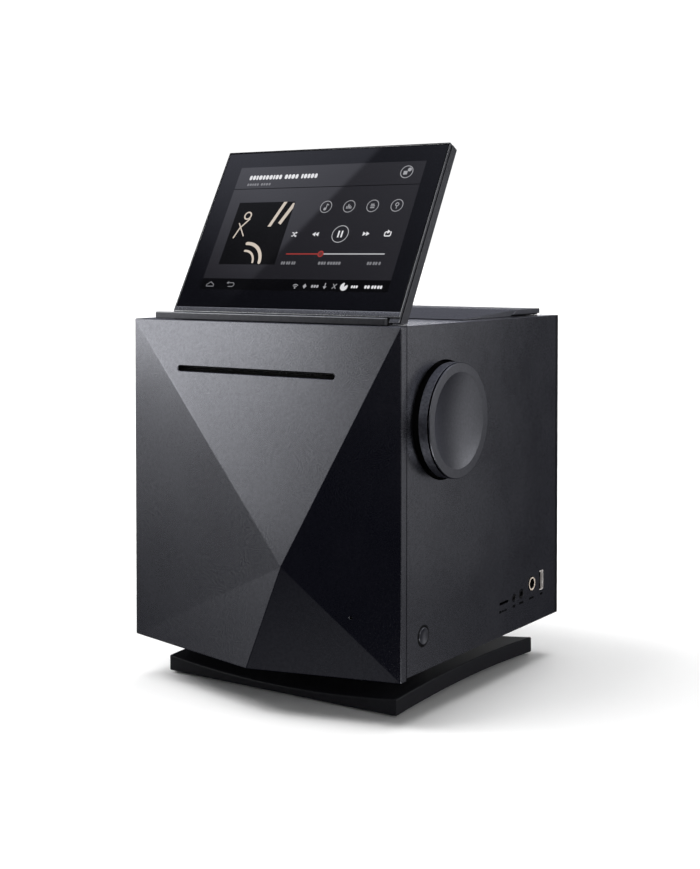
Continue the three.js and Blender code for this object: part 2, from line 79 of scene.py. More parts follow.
# ------------------------------------------------------------------ materials
class Graph:
    def __init__(self, name):
        self.mat = bpy.data.materials.new(name)
        self.mat.use_nodes = True
        self.t = self.mat.node_tree
        self.bsdf = next(n for n in self.t.nodes if n.type == "BSDF_PRINCIPLED")
        self.out = next(n for n in self.t.nodes if n.type == "OUTPUT_MATERIAL")
        self.coord = self.t.nodes.new("ShaderNodeTexCoord").outputs["Object"]

    def node(self, kind, **sockets):
        n = self.t.nodes.new(kind)
        for k, v in sockets.items():
            n.inputs[k.replace("_", " ")].default_value = v
        return n

    def link(self, a, b):
        self.t.links.new(a, b)

    def set(self, name, value):
        self.bsdf.inputs[name].default_value = value

    def stretched(self, scale):
        m = self.t.nodes.new("ShaderNodeMapping")
        m.inputs["Scale"].default_value = scale
        self.link(self.coord, m.inputs["Vector"])
        return m.outputs["Vector"]

    def noise(self, scale, detail=3.0, rough=0.5, vector=None):
        n = self.t.nodes.new("ShaderNodeTexNoise")
        n.inputs["Scale"].default_value = scale
        n.inputs["Detail"].default_value = detail
        n.inputs["Roughness"].default_value = rough
        self.link(vector or self.coord, n.inputs["Vector"])
        return n.outputs["Fac"]

    def voronoi(self, scale, feature="F1", vector=None):
        n = self.t.nodes.new("ShaderNodeTexVoronoi")
        n.feature = feature
        n.inputs["Scale"].default_value = scale
        self.link(vector or self.coord, n.inputs["Vector"])
        return n.outputs["Distance"]

    def spread(self, fac, lo, hi, a=0.3, b=0.7):
        n = self.t.nodes.new("ShaderNodeMapRange")
        n.inputs["From Min"].default_value = a
        n.inputs["From Max"].default_value = b
        n.inputs["To Min"].default_value = lo
        n.inputs["To Max"].default_value = hi
        self.link(fac, n.inputs["Value"])
        return n.outputs["Result"]

    def ramp(self, fac, stops):
        n = self.t.nodes.new("ShaderNodeValToRGB")
        e = n.color_ramp.elements
        while len(e) > 1:
            e.remove(e[-1])
        e[0].position, e[0].color = stops[0][0], (*stops[0][1], 1)
        for p, c in stops[1:]:
            x = e.new(p)
            x.color = (*c, 1)
        self.link(fac, n.inputs["Fac"])
        return n.outputs["Color"]

    def math(self, op, a, b):
        n = self.t.nodes.new("ShaderNodeMath")
        n.operation = op
        for i, x in enumerate((a, b)):
            if isinstance(x, (int, float)):
                n.inputs[i].default_value = x
            else:
                self.link(x, n.inputs[i])
        return n.outputs[0]

    def bump(self, height, strength, distance, normal=None):
        n = self.t.nodes.new("ShaderNodeBump")
        n.inputs["Strength"].default_value = strength
        n.inputs["Distance"].default_value = distance
        self.link(height, n.inputs["Height"])
        if normal is not None:
            self.link(normal, n.inputs["Normal"])
        return n.outputs["Normal"]

    def color(self, out):
        self.link(out, self.bsdf.inputs["Base Color"])

    def rough(self, out):
        self.link(out, self.bsdf.inputs["Roughness"])

    def normal(self, out):
        self.link(out, self.bsdf.inputs["Normal"])


def grey(v, blue=1.085):
    return (v * 0.985, v, v * blue)


def blasted_metal(name, tone, rough, grain=1.0, spread=0.13, blue=1.085):
    """bead-blasted, dyed aluminium: fine even grain, faint cloudiness in the dye"""
    g = Graph(name)
    g.set("Metallic", 1.0)
    fine = g.noise(1900, 4.0, 0.6)
    mottle = g.noise(560, 3.0, 0.62)
    cells = g.voronoi(1500)
    cloud = g.noise(22, 3.0, 0.55)
    mixed = g.math("ADD", g.math("ADD", g.math("MULTIPLY", fine, 0.18), g.math("MULTIPLY", mottle, 0.62)), g.math("MULTIPLY", cloud, 0.20))
    g.color(g.ramp(mixed, [(0.38, grey(tone * (1 - spread), blue)), (0.5, grey(tone, blue)), (0.62, grey(tone * (1 + spread), blue))]))
    g.rough(g.spread(g.math("ADD", g.math("MULTIPLY", fine, 0.6), g.math("MULTIPLY", cloud, 0.4)), rough - 0.035, rough + 0.035))
    n1 = g.bump(fine, 0.22 * grain, 0.00003)
    n2 = g.bump(mottle, 0.10 * grain, 0.00004, n1)
    g.normal(g.bump(cells, 0.10 * grain, 0.00002, n2))
    return g.mat


def painted_metal(name, tone, rough, spec):
    """matt black powder coat over the milled base: fine orange-peel texture"""
    g = Graph(name)
    g.set("Specular IOR Level", spec)
    fine = g.noise(1500, 4.0, 0.6)
    mottle = g.noise(420, 3.0, 0.62)
    mixed = g.math("ADD", g.math("MULTIPLY", fine, 0.4), g.math("MULTIPLY", mottle, 0.6))
    g.color(g.ramp(mixed, [(0.36, grey(tone * 0.8, 1.2)), (0.64, grey(tone * 1.2, 1.2))]))
    g.rough(g.spread(mixed, rough - 0.05, rough + 0.05))
    g.normal(g.bump(mixed, 0.25, 0.00004))
    return g.mat


def turned_metal(name, tone, rough, axis_centre):
    """blasted aluminium with the faint circular tool marks of a turned face"""
    g = Graph(name)
    g.set("Metallic", 1.0)
    c = W(*axis_centre)
    sep = g.t.nodes.new("ShaderNodeSeparateXYZ")
    g.link(g.coord, sep.inputs[0])
    dy = g.math("SUBTRACT", sep.outputs["Y"], c.y)
    dz = g.math("SUBTRACT", sep.outputs["Z"], c.z)
    r = g.math("SQRT", g.math("ADD", g.math("MULTIPLY", dy, dy), g.math("MULTIPLY", dz, dz)), 0)
    rings = g.t.nodes.new("ShaderNodeTexNoise")
    rings.noise_dimensions = "1D"
    rings.inputs["Scale"].default_value = 2600
    rings.inputs["Detail"].default_value = 3
    g.link(r, rings.inputs["W"])
    fine = g.noise(1900, 4.0, 0.6)
    mottle = g.noise(560, 3.0, 0.62)
    mixed = g.math("ADD", g.math("ADD", g.math("MULTIPLY", fine, 0.2), g.math("MULTIPLY", mottle, 0.5)), g.math("MULTIPLY", rings.outputs["Fac"], 0.3))
    g.color(g.ramp(mixed, [(0.36, grey(tone * 0.84)), (0.64, grey(tone * 1.16))]))
    g.rough(g.spread(mixed, rough - 0.03, rough + 0.03))
    n1 = g.bump(fine, 0.2, 0.00003)
    g.normal(g.bump(rings.outputs["Fac"], 0.12, 0.00003, n1))
    return g.mat


def plastic(name, tone, rough=0.45, grain=1.0, spec=0.3, blue=1.05):
    g = Graph(name)
    g.set("Specular IOR Level", spec)
    fine = g.noise(1400, 3.0, 0.6)
    cloud = g.noise(60, 2.0)
    g.color(g.ramp(cloud, [(0.3, grey(tone * 0.85, blue)), (0.7, grey(tone * 1.15, blue))]))
    g.rough(g.spread(fine, rough - 0.06, rough + 0.06))
    g.normal(g.bump(fine, 0.25 * grain, 0.00004))
    return g.mat


def felt(name):
    g = Graph(name)
    g.set("Specular IOR Level", 0.1)
    g.set("Sheen Weight", 0.15)
    g.set("Sheen Roughness", 0.6)
    fuzz = g.noise(2600, 6.0, 0.7, g.stretched((1, 1, 0.35)))
    g.color(g.ramp(fuzz, [(0.3, (0.0012, 0.0012, 0.0014)), (0.7, (0.006, 0.006, 0.0065))]))
    g.rough(g.spread(fuzz, 0.9, 1.0))
    g.normal(g.bump(fuzz, 0.8, 0.0002))
    return g.mat


def rubber(name):
    g = Graph(name)
    g.set("Specular IOR Level", 0.2)
    n = g.noise(1200, 4.0, 0.65)
    c = g.voronoi(900)
    g.color(g.ramp(n, [(0.3, (0.004, 0.004, 0.0045)), (0.7, (0.009, 0.009, 0.0095))]))
    g.rough(g.spread(n, 0.72, 0.86))
    g.normal(g.bump(c, 0.35, 0.00008, g.bump(n, 0.3, 0.00005)))
    return g.mat


def satin_metal(name, tint, rough):
    """pale satin plating: half scattering, half reflecting, with fine wear marks"""
    g = Graph(name)
    g.set("Metallic", 0.35)
    fine = g.noise(900, 3.0, 0.6)
    g.color(g.ramp(fine, [(0.3, tuple(c * 0.9 for c in tint)), (0.7, tint)]))
    g.rough(g.spread(fine, rough - 0.05, rough + 0.05))
    g.normal(g.bump(fine, 0.08, 0.00002))
    return g.mat


def bright_metal(name, tint, rough=0.25, stretch=(1, 1, 1)):
    g = Graph(name)
    g.set("Metallic", 1.0)
    v = g.stretched(stretch)
    n = g.noise(900, 4.0, 0.6, v)
    c = g.noise(60, 2.0)
    lo, hi = tuple(t * 0.88 for t in tint), tuple(min(1, t * 1.06) for t in tint)
    g.color(g.ramp(c, [(0.3, lo), (0.7, hi)]))
    g.rough(g.spread(n, rough - 0.06, rough + 0.08))
    g.normal(g.bump(n, 0.12, 0.00003))
    return g.mat


def board(name):
    """solder-masked circuit board with copper tracks showing through"""
    g = Graph(name)
    v = g.stretched((1, 1, 0.001))
    br = g.t.nodes.new("ShaderNodeTexBrick")
    br.inputs["Scale"].default_value = 260
    br.inputs["Mortar Size"].default_value = 0.06
    br.inputs["Color1"].default_value = (0.004, 0.022, 0.011, 1)
    br.inputs["Color2"].default_value = (0.006, 0.030, 0.015, 1)
    br.inputs["Mortar"].default_value = (0.018, 0.075, 0.035, 1)
    g.link(v, br.inputs["Vector"])
    g.color(br.outputs["Color"])
    n = g.noise(700, 3.0)
    g.rough(g.spread(n, 0.28, 0.45))
    g.normal(g.bump(br.outputs["Fac"], 0.3, 0.00004))
    return g.mat


def glass_black(name):
    g = Graph(name)
    g.set("Specular IOR Level", 0.5)
    g.set("IOR", 1.5)
    g.set("Specular Tint", (0.94, 0.95, 1.0, 1))
    smear = g.noise(26, 4.0, 0.55)
    wave = g.noise(9, 2.0)
    g.color(g.ramp(smear, [(0.3, (0.0018, 0.0019, 0.0026)), (0.7, (0.0027, 0.0028, 0.0040))]))
    g.rough(g.spread(smear, 0.008, 0.024))
    g.normal(g.bump(wave, 0.008, 0.0002))
    return g.mat


def lit(name, color, strength, spec=0.5, vary=0.06, scale=40, fine=True):
    """a lit part of the picture under the cover glass"""
    g = Graph(name)
    g.set("Specular IOR Level", spec)
    n = g.noise(scale, 3.0)
    lo, hi = tuple(c * (1 - vary) for c in color), tuple(c * (1 + vary) for c in color)
    c = g.ramp(n, [(0.3, lo), (0.7, hi)])
    g.link(c, g.bsdf.inputs["Emission Color"])
    g.set("Emission Strength", strength)
    g.color(g.ramp(n, [(0.3, (0.002, 0.002, 0.0024)), (0.7, (0.003, 0.003, 0.0036))]))
    smear = g.noise(26, 4.0, 0.55)
    g.rough(g.spread(smear, 0.008, 0.024))
    g.normal(g.bump(g.noise(9, 2.0), 0.008, 0.0002))
    return g.mat


METAL = blasted_metal("dark_anodised_aluminium", 0.17, 0.28)
METAL_SIDE = blasted_metal("side_anodised_aluminium", 0.17, 0.28, 1.0, 0.20)
METAL_DECK = blasted_metal("deck_anodised_aluminium", 0.17, 0.28)
METAL_BASE = painted_metal("base_anodised_aluminium", 0.012, 0.42, 0.30)
# a lighter, matt copy of the base finish for its upward faces: painted light on the base's top
BASE_TOP_PAINTED_LIGHT = painted_metal("base_top_painted_light", 0.026, 0.65, 0.02)
# a lighter copy of the dark aluminium for the top plate: painted light on the top seen at a grazing angle
TOP_PAINTED_LIGHT = blasted_metal("top_plate_painted_light", 0.20, 0.17, 0.25, 0.10)
METAL_REAR = blasted_metal("rear_anodised_black", 0.040, 0.42)
METAL_DISPLAY = blasted_metal("display_anodised_aluminium", 0.10, 0.30)
METAL_RIM = blasted_metal("display_rim_aluminium", 0.40, 0.26, 0.7, 0.10, 1.0)
RIM_BLACK = plastic("display_rim_black", 0.003, 0.35, 0.6, 0.25)
METAL_RAIL = blasted_metal("rail_anodised_aluminium", 0.066, 0.30)
# a pale copy of the aluminium: painted highlight on the display frame's chamfers and the deck rail's top faces
EDGE_PAINTED_HIGHLIGHT = blasted_metal("edge_painted_highlight", 0.46, 0.30, 0.6, 0.10, 1.0)
# a lighter copy of the deck aluminium for faces turned to the right: painted light
SIDE_PAINTED_LIGHT = blasted_metal("side_faces_painted_light", 0.30, 0.30)
KNOB_METAL = turned_metal("knob_aluminium", 0.19, 0.30, (XS, KNOB_Y, KNOB_Z))
KNOB_BAND = blasted_metal("knob_grip_aluminium", 0.34, 0.50, 1.6, 0.3)
BUTTON_METAL = turned_metal("button_aluminium", 0.20, 0.34, (XS, POWER_Y, POWER_Z))
PLASTIC = plastic("black_plastic", 0.004, 0.45)
# near-black: black plastic parts, and painted shade on metal faces in gaps, bores and recesses
BLACK_AND_PAINTED_SHADE = plastic("black_plastic_and_painted_shade", 0.0015, 0.7, 1.0, 0.1)
PLASTIC_REAR = plastic("rear_plate_coating", 0.008, 0.55)
INK = plastic("printed_mark", 0.0008, 0.6, 0.5, 0.1)
INK_PALE = plastic("printed_mark_pale", 0.22, 0.6, 0.5, 0.2)
FELT = felt("felt")
RUBBER = rubber("black_rubber")
STEEL = bright_metal("bright_steel", (0.86, 0.86, 0.87), 0.26)
SHEET_STEEL = bright_metal("folded_steel_sheet", (0.42, 0.43, 0.44), 0.34, (1, 0.05, 1))
GOLD = bright_metal("gold_plate", (0.97, 0.84, 0.70), 0.34)
SOCKET_STEEL = satin_metal("tin_plated_shell", (0.93, 0.88, 0.84), 0.35)
GOLD_RING = satin_metal("gold_ring_face", (0.96, 0.83, 0.70), 0.45)
BOARD = board("circuit_board")
GLASS = glass_black("cover_glass_black")
LENS = plastic("status_lens", 0.003, 0.15, 0.2, 0.5)


# --------------------------------------------------------------- mesh helpers
def place(name, mesh, mats, body, stands_for=(), smooth=32.0, weighted=True):
    o = bpy.data.objects.new(name, mesh)
    scene.collection.objects.link(o)
    mats = mats if isinstance(mats, (list, tuple)) else [mats]
    mesh.materials.clear()
    for m in mats:
        mesh.materials.append(m)
    if smooth:
        mesh.shade_smooth()
        mesh.set_sharp_from_angle(angle=math.radians(smooth))
        if weighted:
            wn = o.modifiers.new("normals", "WEIGHTED_NORMAL")
            wn.keep_sharp = True
            wn.weight = 60
    else:
        mesh.shade_flat()
    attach(o, body)
    if stands_for:
        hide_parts(*([stands_for] if isinstance(stands_for, str) else stands_for))
    return o


def mesh_of(bm, name):
    bmesh.ops.recalc_face_normals(bm, faces=bm.faces[:])
    me = bpy.data.meshes.new(name)
    bm.to_mesh(me)
    bm.free()
    return me


def from_lists(name, verts, faces, idx=None):
    bm = bmesh.new()
    vs = [bm.verts.new(v) for v in verts]
    for k, f in enumerate(faces):
        try:
            face = bm.faces.new([vs[i] for i in f])
            if idx:
                face.material_index = idx[k]
        except ValueError:
            pass
    return mesh_of(bm, name)


def edge_round(bm, radius, segments=3, angle=28.0, only_convex=True, pick=None):
    edges = []
    for e in bm.edges:
        if len(e.link_faces) != 2:
            continue
        a = e.calc_face_angle_signed(0)
        if abs(a) < math.radians(angle) or (only_convex and a < 0):
            continue
        if pick and not pick(e):
            continue
        edges.append(e)
    if edges:
        bmesh.ops.bevel(bm, geom=edges, offset=radius, offset_type="OFFSET", segments=segments,
                        profile=0.5, affect="EDGES", clamp_overlap=True, loop_slide=True)


def clean_copy(node):
    bm = bmesh.new()
    bm.from_mesh(NODES[node].data)
    bmesh.ops.remove_doubles(bm, verts=bm.verts[:], dist=2e-6)
    bmesh.ops.dissolve_limit(bm, angle_limit=math.radians(0.6), use_dissolve_boundaries=False,
                             verts=bm.verts[:], edges=bm.edges[:])
    return bm


def refine(node, mat, body, radius=0.3, segments=2, angle=28.0, name=None, smooth=32.0):
    """the CAD solid with its real edge radii"""
    bm = clean_copy(node)
    edge_round(bm, radius * 1e-3, segments, angle)
    bmesh.ops.remove_doubles(bm, verts=bm.verts[:], dist=1e-6)
    return place(name or node + "_finished", mesh_of(bm, node), mat, body, node, smooth)


def paint_faces(obj, mats, choose):
    """choose(x, y, z, normal) in design millimetres gives the material index"""
    for m in mats:
        obj.data.materials.append(m)
    for f in obj.data.polygons:
        c = f.center
        f.material_index = choose(c.x * 1e3 + ORIGIN[0], c.y * 1e3 + ORIGIN[1], c.z * 1e3 + ORIGIN[2], f.normal)


def area2(p):
    return sum(p[i][0] * p[(i + 1) % len(p)][1] - p[(i + 1) % len(p)][0] * p[i][1] for i in range(len(p)))


def circle(cx, cy, r, n=96, a0=0.0):
    return [(cx + r * math.cos(a0 + 2 * math.pi * i / n), cy + r * math.sin(a0 + 2 * math.pi * i / n)) for i in range(n)]


def rounded_rect(x0, x1, y0, y1, r, n=6):
    pts = []
    for cx, cy, a in ((x1 - r, y0 + r, -90), (x1 - r, y1 - r, 0), (x0 + r, y1 - r, 90), (x0 + r, y0 + r, 180)):
        for i in range(n + 1):
            t = math.radians(a + 90 * i / n)
            pts.append((cx + r * math.cos(t), cy + r * math.sin(t)))
    return pts


def inset(loop, d):
    """a loop moved by d towards its own left-hand side"""
    n, out = len(loop), []
    for i in range(n):
        (x0, y0), (x1, y1), (x2, y2) = loop[i - 1], loop[i], loop[(i + 1) % n]
        ax, ay, bx, by = x1 - x0, y1 - y0, x2 - x1, y2 - y1
        la, lb = math.hypot(ax, ay) or 1e-9, math.hypot(bx, by) or 1e-9
        n1, n2 = (-ay / la, ax / la), (-by / lb, bx / lb)
        mx, my = n1[0] + n2[0], n1[1] + n2[1]
        k = 2.0 / max(mx * mx + my * my, 0.5)
        out.append((x1 + mx * k / 1.0 * d * 0.5 * 1.0, y1 + my * k * d * 0.5))
    return out


def plate_mesh(name, outline, holes, t0, t1, put, r=0.3, seg=3, r_hole=None, r_back=None):
    """flat plate with holes, every edge rounded; put(a, b, t) gives the place"""
    r_hole = r if r_hole is None else r_hole
    r_back = r if r_back is None else r_back
    loops = []
    o = outline if area2(outline) > 0 else outline[::-1]
    loops.append((o, r))
    for h in holes:
        loops.append((h if area2(h) < 0 else h[::-1], r_hole))
    verts, faces, first, last = [], [], [], []
    for loop, rr in loops:
        n = len(loop)
        rings = []
        rb = min(r_back, rr) if rr else 0
        for k in range(seg + 1):
            th = math.pi / 2 * k / seg
            rings.append((rr * (1 - math.sin(th)), t1 - rr * (1 - math.cos(th))))
        for k in range(seg, -1, -1):
            th = math.pi / 2 * k / seg
            rings.append((rb * (1 - math.sin(th)), t0 + rb * (1 - math.cos(th))))
        base = len(verts)
        for d, t in rings:
            for a, b in (inset(loop, d) if d else loop):
                verts.append(put(a, b, t))
        for j in range(len(rings) - 1):
            for i in range(n):
                p, q = base + j * n + i, base + j * n + (i + 1) % n
                faces.append((p, q, q + n, p + n))
        first.append((base, n, inset(loop, rings[0][0])))
        last.append((base + (len(rings) - 1) * n, n, inset(loop, rings[-1][0])))
    for group in (first, last):
        ids = [b + i for b, n, _ in group for i in range(n)]
        tris = tessellate_polygon([[Vector((x, y, 0)) for x, y in l] for _, _, l in group])
        faces += [tuple(ids[i] for i in t) for t in tris]
    bm = bmesh.new()
    vs = [bm.verts.new(v) for v in verts]
    for f in faces:
        try:
            bm.faces.new([vs[i] for i in f])
        except ValueError:
            pass
    return mesh_of(bm, name)


def fillet(profile, r, steps=4, closed=True, keep=()):
    """corners of a (radius, distance) profile rounded"""
    n, out = len(profile), []
    for i, p in enumerate(profile):
        if (not closed and i in (0, n - 1)) or i in keep or p[0] < 1e-6:
            out.append(p)
            continue
        a, b = profile[i - 1], profile[(i + 1) % n]
        va, vb = (a[0] - p[0], a[1] - p[1]), (b[0] - p[0], b[1] - p[1])
        la, lb = math.hypot(*va), math.hypot(*vb)
        cosang = (va[0] * vb[0] + va[1] * vb[1]) / (la * lb)
        if cosang < -0.985:
            out.append(p)
            continue
        rr = r[i] if isinstance(r, dict) and i in r else (r if not isinstance(r, dict) else r.get("all", 0.2))
        d = min(rr, la * 0.45, lb * 0.45)
        s, e = (p[0] + va[0] / la * d, p[1] + va[1] / la * d), (p[0] + vb[0] / lb * d, p[1] + vb[1] / lb * d)
        for k in range(steps + 1):
            t = k / steps
            out.append(((1 - t) ** 2 * s[0] + 2 * t * (1 - t) * p[0] + t * t * e[0],
                        (1 - t) ** 2 * s[1] + 2 * t * (1 - t) * p[1] + t * t * e[1]))
    return out


def lathe_mesh(name, profile, put, n=128, closed=True, ripple=None):
    """profile of (radius, distance) turned; put(x, y, t) gives the place; ripple(angle, i) changes a radius"""
    verts, rings = [], []
    for i, (r, t) in enumerate(profile):
        if r < 1e-6:
            rings.append([len(verts)])
            verts.append(put(0, 0, t))
            continue
        ring = []
        for k in range(n):
            a = 2 * math.pi * k / n
            rr = r if ripple is None else ripple(r, a, i, t)
            ring.append(len(verts))
            verts.append(put(rr * math.cos(a), rr * math.sin(a), t))
        rings.append(ring)
    faces = []
    pairs = [(i, i + 1) for i in range(len(profile) - 1)]
    if closed and len(rings[0]) > 1:
        pairs.append((len(profile) - 1, 0))
    for i, j in pairs:
        a, b = rings[i], rings[j]
        if len(a) == 1 and len(b) == 1:
            continue
        for k in range(n):
            k2 = (k + 1) % n
            if len(a) == 1:
                faces.append((a[0], b[k], b[k2]))
            elif len(b) == 1:
                faces.append((a[k], a[k2], b[0]))
            else:
                faces.append((a[k], a[k2], b[k2], b[k]))
    bm = bmesh.new()
    vs = [bm.verts.new(v) for v in verts]
    for f in faces:
        try:
            bm.faces.new([vs[i] for i in f])
        except ValueError:
            pass
    return mesh_of(bm, name)


def axis_x(cy, cz):
    return lambda a, b, t: W(t, cy + a, cz + b)


def axis_y(cx, cz):
    return lambda a, b, t: W(cx + a, t, cz + b)


def axis_z(cx, cy):
    return lambda a, b, t: W(cx + a, cy + b, t)


def cut(obj, *cutters):
    """obj minus closed cutter meshes, applied"""
    keep_mods = [m.name for m in obj.modifiers]
    for m in keep_mods:
        obj.modifiers.remove(obj.modifiers[m])
    tools = []
    for i, me in enumerate(cutters):
        c = bpy.data.objects.new(f"cutter_{i}", me)
        scene.collection.objects.link(c)
        b = obj.modifiers.new(f"cut{i}", "BOOLEAN")
        b.operation, b.solver, b.object = "DIFFERENCE", "EXACT", c
        tools.append(c)
    bpy.context.view_layer.update()
    dg = bpy.context.evaluated_depsgraph_get()
    me = bpy.data.meshes.new_from_object(obj.evaluated_get(dg))
    obj.modifiers.clear()
    mats = list(obj.data.materials)
    obj.data = me
    me.materials.clear()
    for m in mats:
        me.materials.append(m)
    for c in tools:
        data = c.data
        bpy.data.objects.remove(c)
        bpy.data.meshes.remove(data)
    return obj


def join_meshes(name, parts):
    """several closed meshes as one mesh, each with its material index"""
    bm = bmesh.new()
    for me, index in parts:
        before = len(bm.faces)
        bm.from_mesh(me)
        bm.faces.ensure_lookup_table()
        for f in bm.faces[before:]:
            f.material_index = index
        bpy.data.meshes.remove(me)
    me = bpy.data.meshes.new(name)
    bm.to_mesh(me)
    bm.free()
    return me


def block(x0, x1, y0, y1, z0, z1, r=0.2, seg=2, put=None):
    """a small moulded block with rounded edges"""
    put = put or W
    bm = bmesh.new()
    vs = [bm.verts.new(put(x, y, z)) for x in (x0, x1) for y in (y0, y1) for z in (z0, z1)]
    for f in ((0, 1, 3, 2), (4, 6, 7, 5), (0, 4, 5, 1), (2, 3, 7, 6), (0, 2, 6, 4), (1, 5, 7, 3)):
        bm.faces.new([vs[i] for i in f])
    bmesh.ops.recalc_face_normals(bm, faces=bm.faces[:])
    bmesh.ops.bevel(bm, geom=bm.edges[:], offset=r * 1e-3, offset_type="OFFSET", segments=seg, profile=0.5,
                    affect="EDGES", clamp_overlap=True)
    return mesh_of(bm, "block")


# -------------------------------------------------------------- front casting
A, B, C, E2 = (-HALF_W, 0, 0), (HALF_W, 0, 0), (-HALF_W, 0, -HEIGHT), (HALF_W, 0, -HEIGHT)


def hedron_bm(back, off):
    f = lambda p: (p[0], p[1] + off, p[2])
    pts = [f(A), f(B), f(C), f(E2), f(APEX), f(KEEL)] + [(p[0], back, p[2]) for p in (A, B, C, E2)]
    faces = [(0, 4, 1), (0, 2, 4), (2, 5, 4), (4, 5, 3), (1, 4, 3),
             (0, 1, 7, 6), (0, 6, 8, 2), (1, 3, 9, 7), (2, 8, 9, 3, 5), (6, 7, 9, 8)]
    bm = bmesh.new()
    vs = [bm.verts.new(W(*p)) for p in pts]
    for q in faces:
        bm.faces.new([vs[i] for i in q])
    bmesh.ops.recalc_face_normals(bm, faces=bm.faces[:])
    return bm


def plane_y(p, q, r, x, z):
    n = (Vector(q) - Vector(p)).cross(Vector(r) - Vector(p))
    return p[1] - (n.x * (x - p[0]) + n.z * (z - p[2])) / n.y


def loft_mesh(name, rings):
    n = len(rings[0])
    verts = [W(*p) for ring in rings for p in ring]
    faces = [(j * n + i, j * n + (i + 1) % n, (j + 1) * n + (i + 1) % n, (j + 1) * n + i)
             for j in range(len(rings) - 1) for i in range(n)]
    faces += [tuple(range(n)), tuple(range((len(rings) - 1) * n, len(rings) * n))]
    return from_lists(name, verts, faces)


def stadium(x0, x1, z, r, grow, n=20):
    pts = []
    for cx, a in ((x1 - r, -90), (x0 + r, 90)):
        for i in range(n + 1):
            t = math.radians(a + 180 * i / n)
            pts.append((cx + (r + grow) * math.cos(t), z + (r + grow) * math.sin(t)))
    return pts


bm = hedron_bm(FRONT_T, 0)
edge_round(bm, 0.45e-3, 3, 4.0, False)
front = place("front_casting", mesh_of(bm, "front_casting"), METAL, "chassis", "front_panel")
inner = hedron_bm(FRONT_T + 1, SKIN)
inner_mesh = mesh_of(inner, "inner")
lim = bpy.data.meshes.new_from_object(place("limit_block", block(-HALF_W + 4, HALF_W - 4, -60, FRONT_T + 2, -HEIGHT + 3.5, -3.5, 0.01, 1), METAL, "chassis"))
inner_obj = bpy.data.objects.new("inner_tmp", inner_mesh)
scene.collection.objects.link(inner_obj)
bo = inner_obj.modifiers.new("i", "BOOLEAN")
bo.operation, bo.solver, bo.object = "INTERSECT", "EXACT", bpy.data.objects["limit_block"]
bpy.context.view_layer.update()
hollow = bpy.data.meshes.new_from_object(inner_obj.evaluated_get(bpy.context.evaluated_depsgraph_get()))
bpy.data.objects.remove(inner_obj)
bpy.data.objects.remove(bpy.data.objects["limit_block"])
sr = SLOT[3] / 2
slot_rings = []
for grow, depth in ((1.25, -0.9), (0.45, 0.0), (0.12, 0.33), (0.0, 0.6), (0.0, 26.0)):
    slot_rings.append([(x, plane_y(A, B, APEX, x, z) + depth, z) for x, z in stadium(SLOT[0], SLOT[1], SLOT[2], sr, grow)])
led_rings = []
for grow, depth in ((0.5, -0.4), (0.12, 0.0), (0.0, 0.15), (0.0, 26.0)):
    led_rings.append([(x, plane_y(B, APEX, E2, x, z) + depth, z) for x, z in circle(LED[0], LED[2], 0.9 + grow, 24)])
cut(front, hollow, loft_mesh("slot_cut", slot_rings), loft_mesh("led_cut", led_rings))
front.data.shade_smooth()
front.data.set_sharp_from_angle(angle=math.radians(30))
wn = front.modifiers.new("normals", "WEIGHTED_NORMAL")
wn.keep_sharp = True
wn.weight = 70

# status light lens
prof = fillet([(0, LED[1] + 6), (0.6, LED[1] + 6), (0.6, LED[1] + 0.9), (0.32, LED[1] + 0.72), (0, LED[1] + 0.66)], 0.08, 3, False)
place("status_lens_dome", lathe_mesh("led", prof, axis_y(LED[0], LED[2]), 24), LENS, "chassis", "status_led")

# felt lips behind the slot: two soft rolls that nearly meet
felt_parts = []
for s in (-1, 1):
    rows = []
    x0, x1 = SLOT[0] - 4, SLOT[1] + 4
    z0 = SLOT[2] + s * 0.9
    prof2 = [(0.25, 6.0), (0.25, 1.2), (0.45, 0.55), (0.9, 0.05), (1.4, 0.1), (1.8, 0.6), (1.95, 1.2), (1.95, 6.0)]
    nx = 90
    verts, faces = [], []
    for i in range(nx + 1):
        x = x0 + (x1 - x0) * i / nx
        wob = 0.12 * math.sin(i * 1.7) * math.sin(i * 0.37 + s)
        for y, d in prof2:
            dz = d if d > 3 else d + wob * (1.2 - min(d, 1.2))
            verts.append(W(x, y, SLOT[2] + s * (0.15 + dz) if d <= 3 else SLOT[2] + s * d))
    m = len(prof2)
    for i in range(nx):
        for j in range(m):
            a, b2 = i * m + j, i * m + (j + 1) % m
            faces.append((a, b2, b2 + m, a + m))
    faces += [tuple(range(m)), tuple(range(nx * m, nx * m + m))]
    felt_parts.append((from_lists("felt", verts, faces), 0))
place("slot_felt_lips", join_meshes("felt_lips", felt_parts), FELT, "chassis", "disc_slot_seal", 60)

# --------------------------------------------------------------------- panels
yF, yR = FRONT_T + GAP, DEPTH - WALL - GAP
put_right = lambda a, b, t: W(t, a, b)
holes = [circle(KNOB_Y, KNOB_Z, KNOB_HOLE, 160), circle(POWER_Y, POWER_Z, POWER_RING + 0.3, 48),
         rounded_rect(USB_Y - USB_W / 2 - 0.3, USB_Y + USB_W / 2 + 0.3, USB_Z - USB_H / 2 - 0.3, USB_Z + USB_H / 2 + 0.3, 0.5, 4),
         circle(JACK_Y, JACK_Z, JACK_RING + 0.3, 40), circle(SMALL[0], SMALL[1], SMALL[2] + 0.3, 32),
         circle(BALANCED[0], BALANCED[1], BALANCED[2] + 0.3, 32),
         rounded_rect(CARD[0], CARD[1], CARD[2] - CARD[3] / 2, CARD[2] + CARD[3] / 2, 0.5, 4)]
place("right_side_skin", plate_mesh("right_side", rounded_rect(yF, yR, -SIDE_H, 0, 0.35, 3), holes, XS - WALL, XS, put_right, 0.35, 3, 0.22),
      METAL_SIDE, "chassis", "right_side_panel")
put_left = lambda a, b, t: W(-t, a, b)
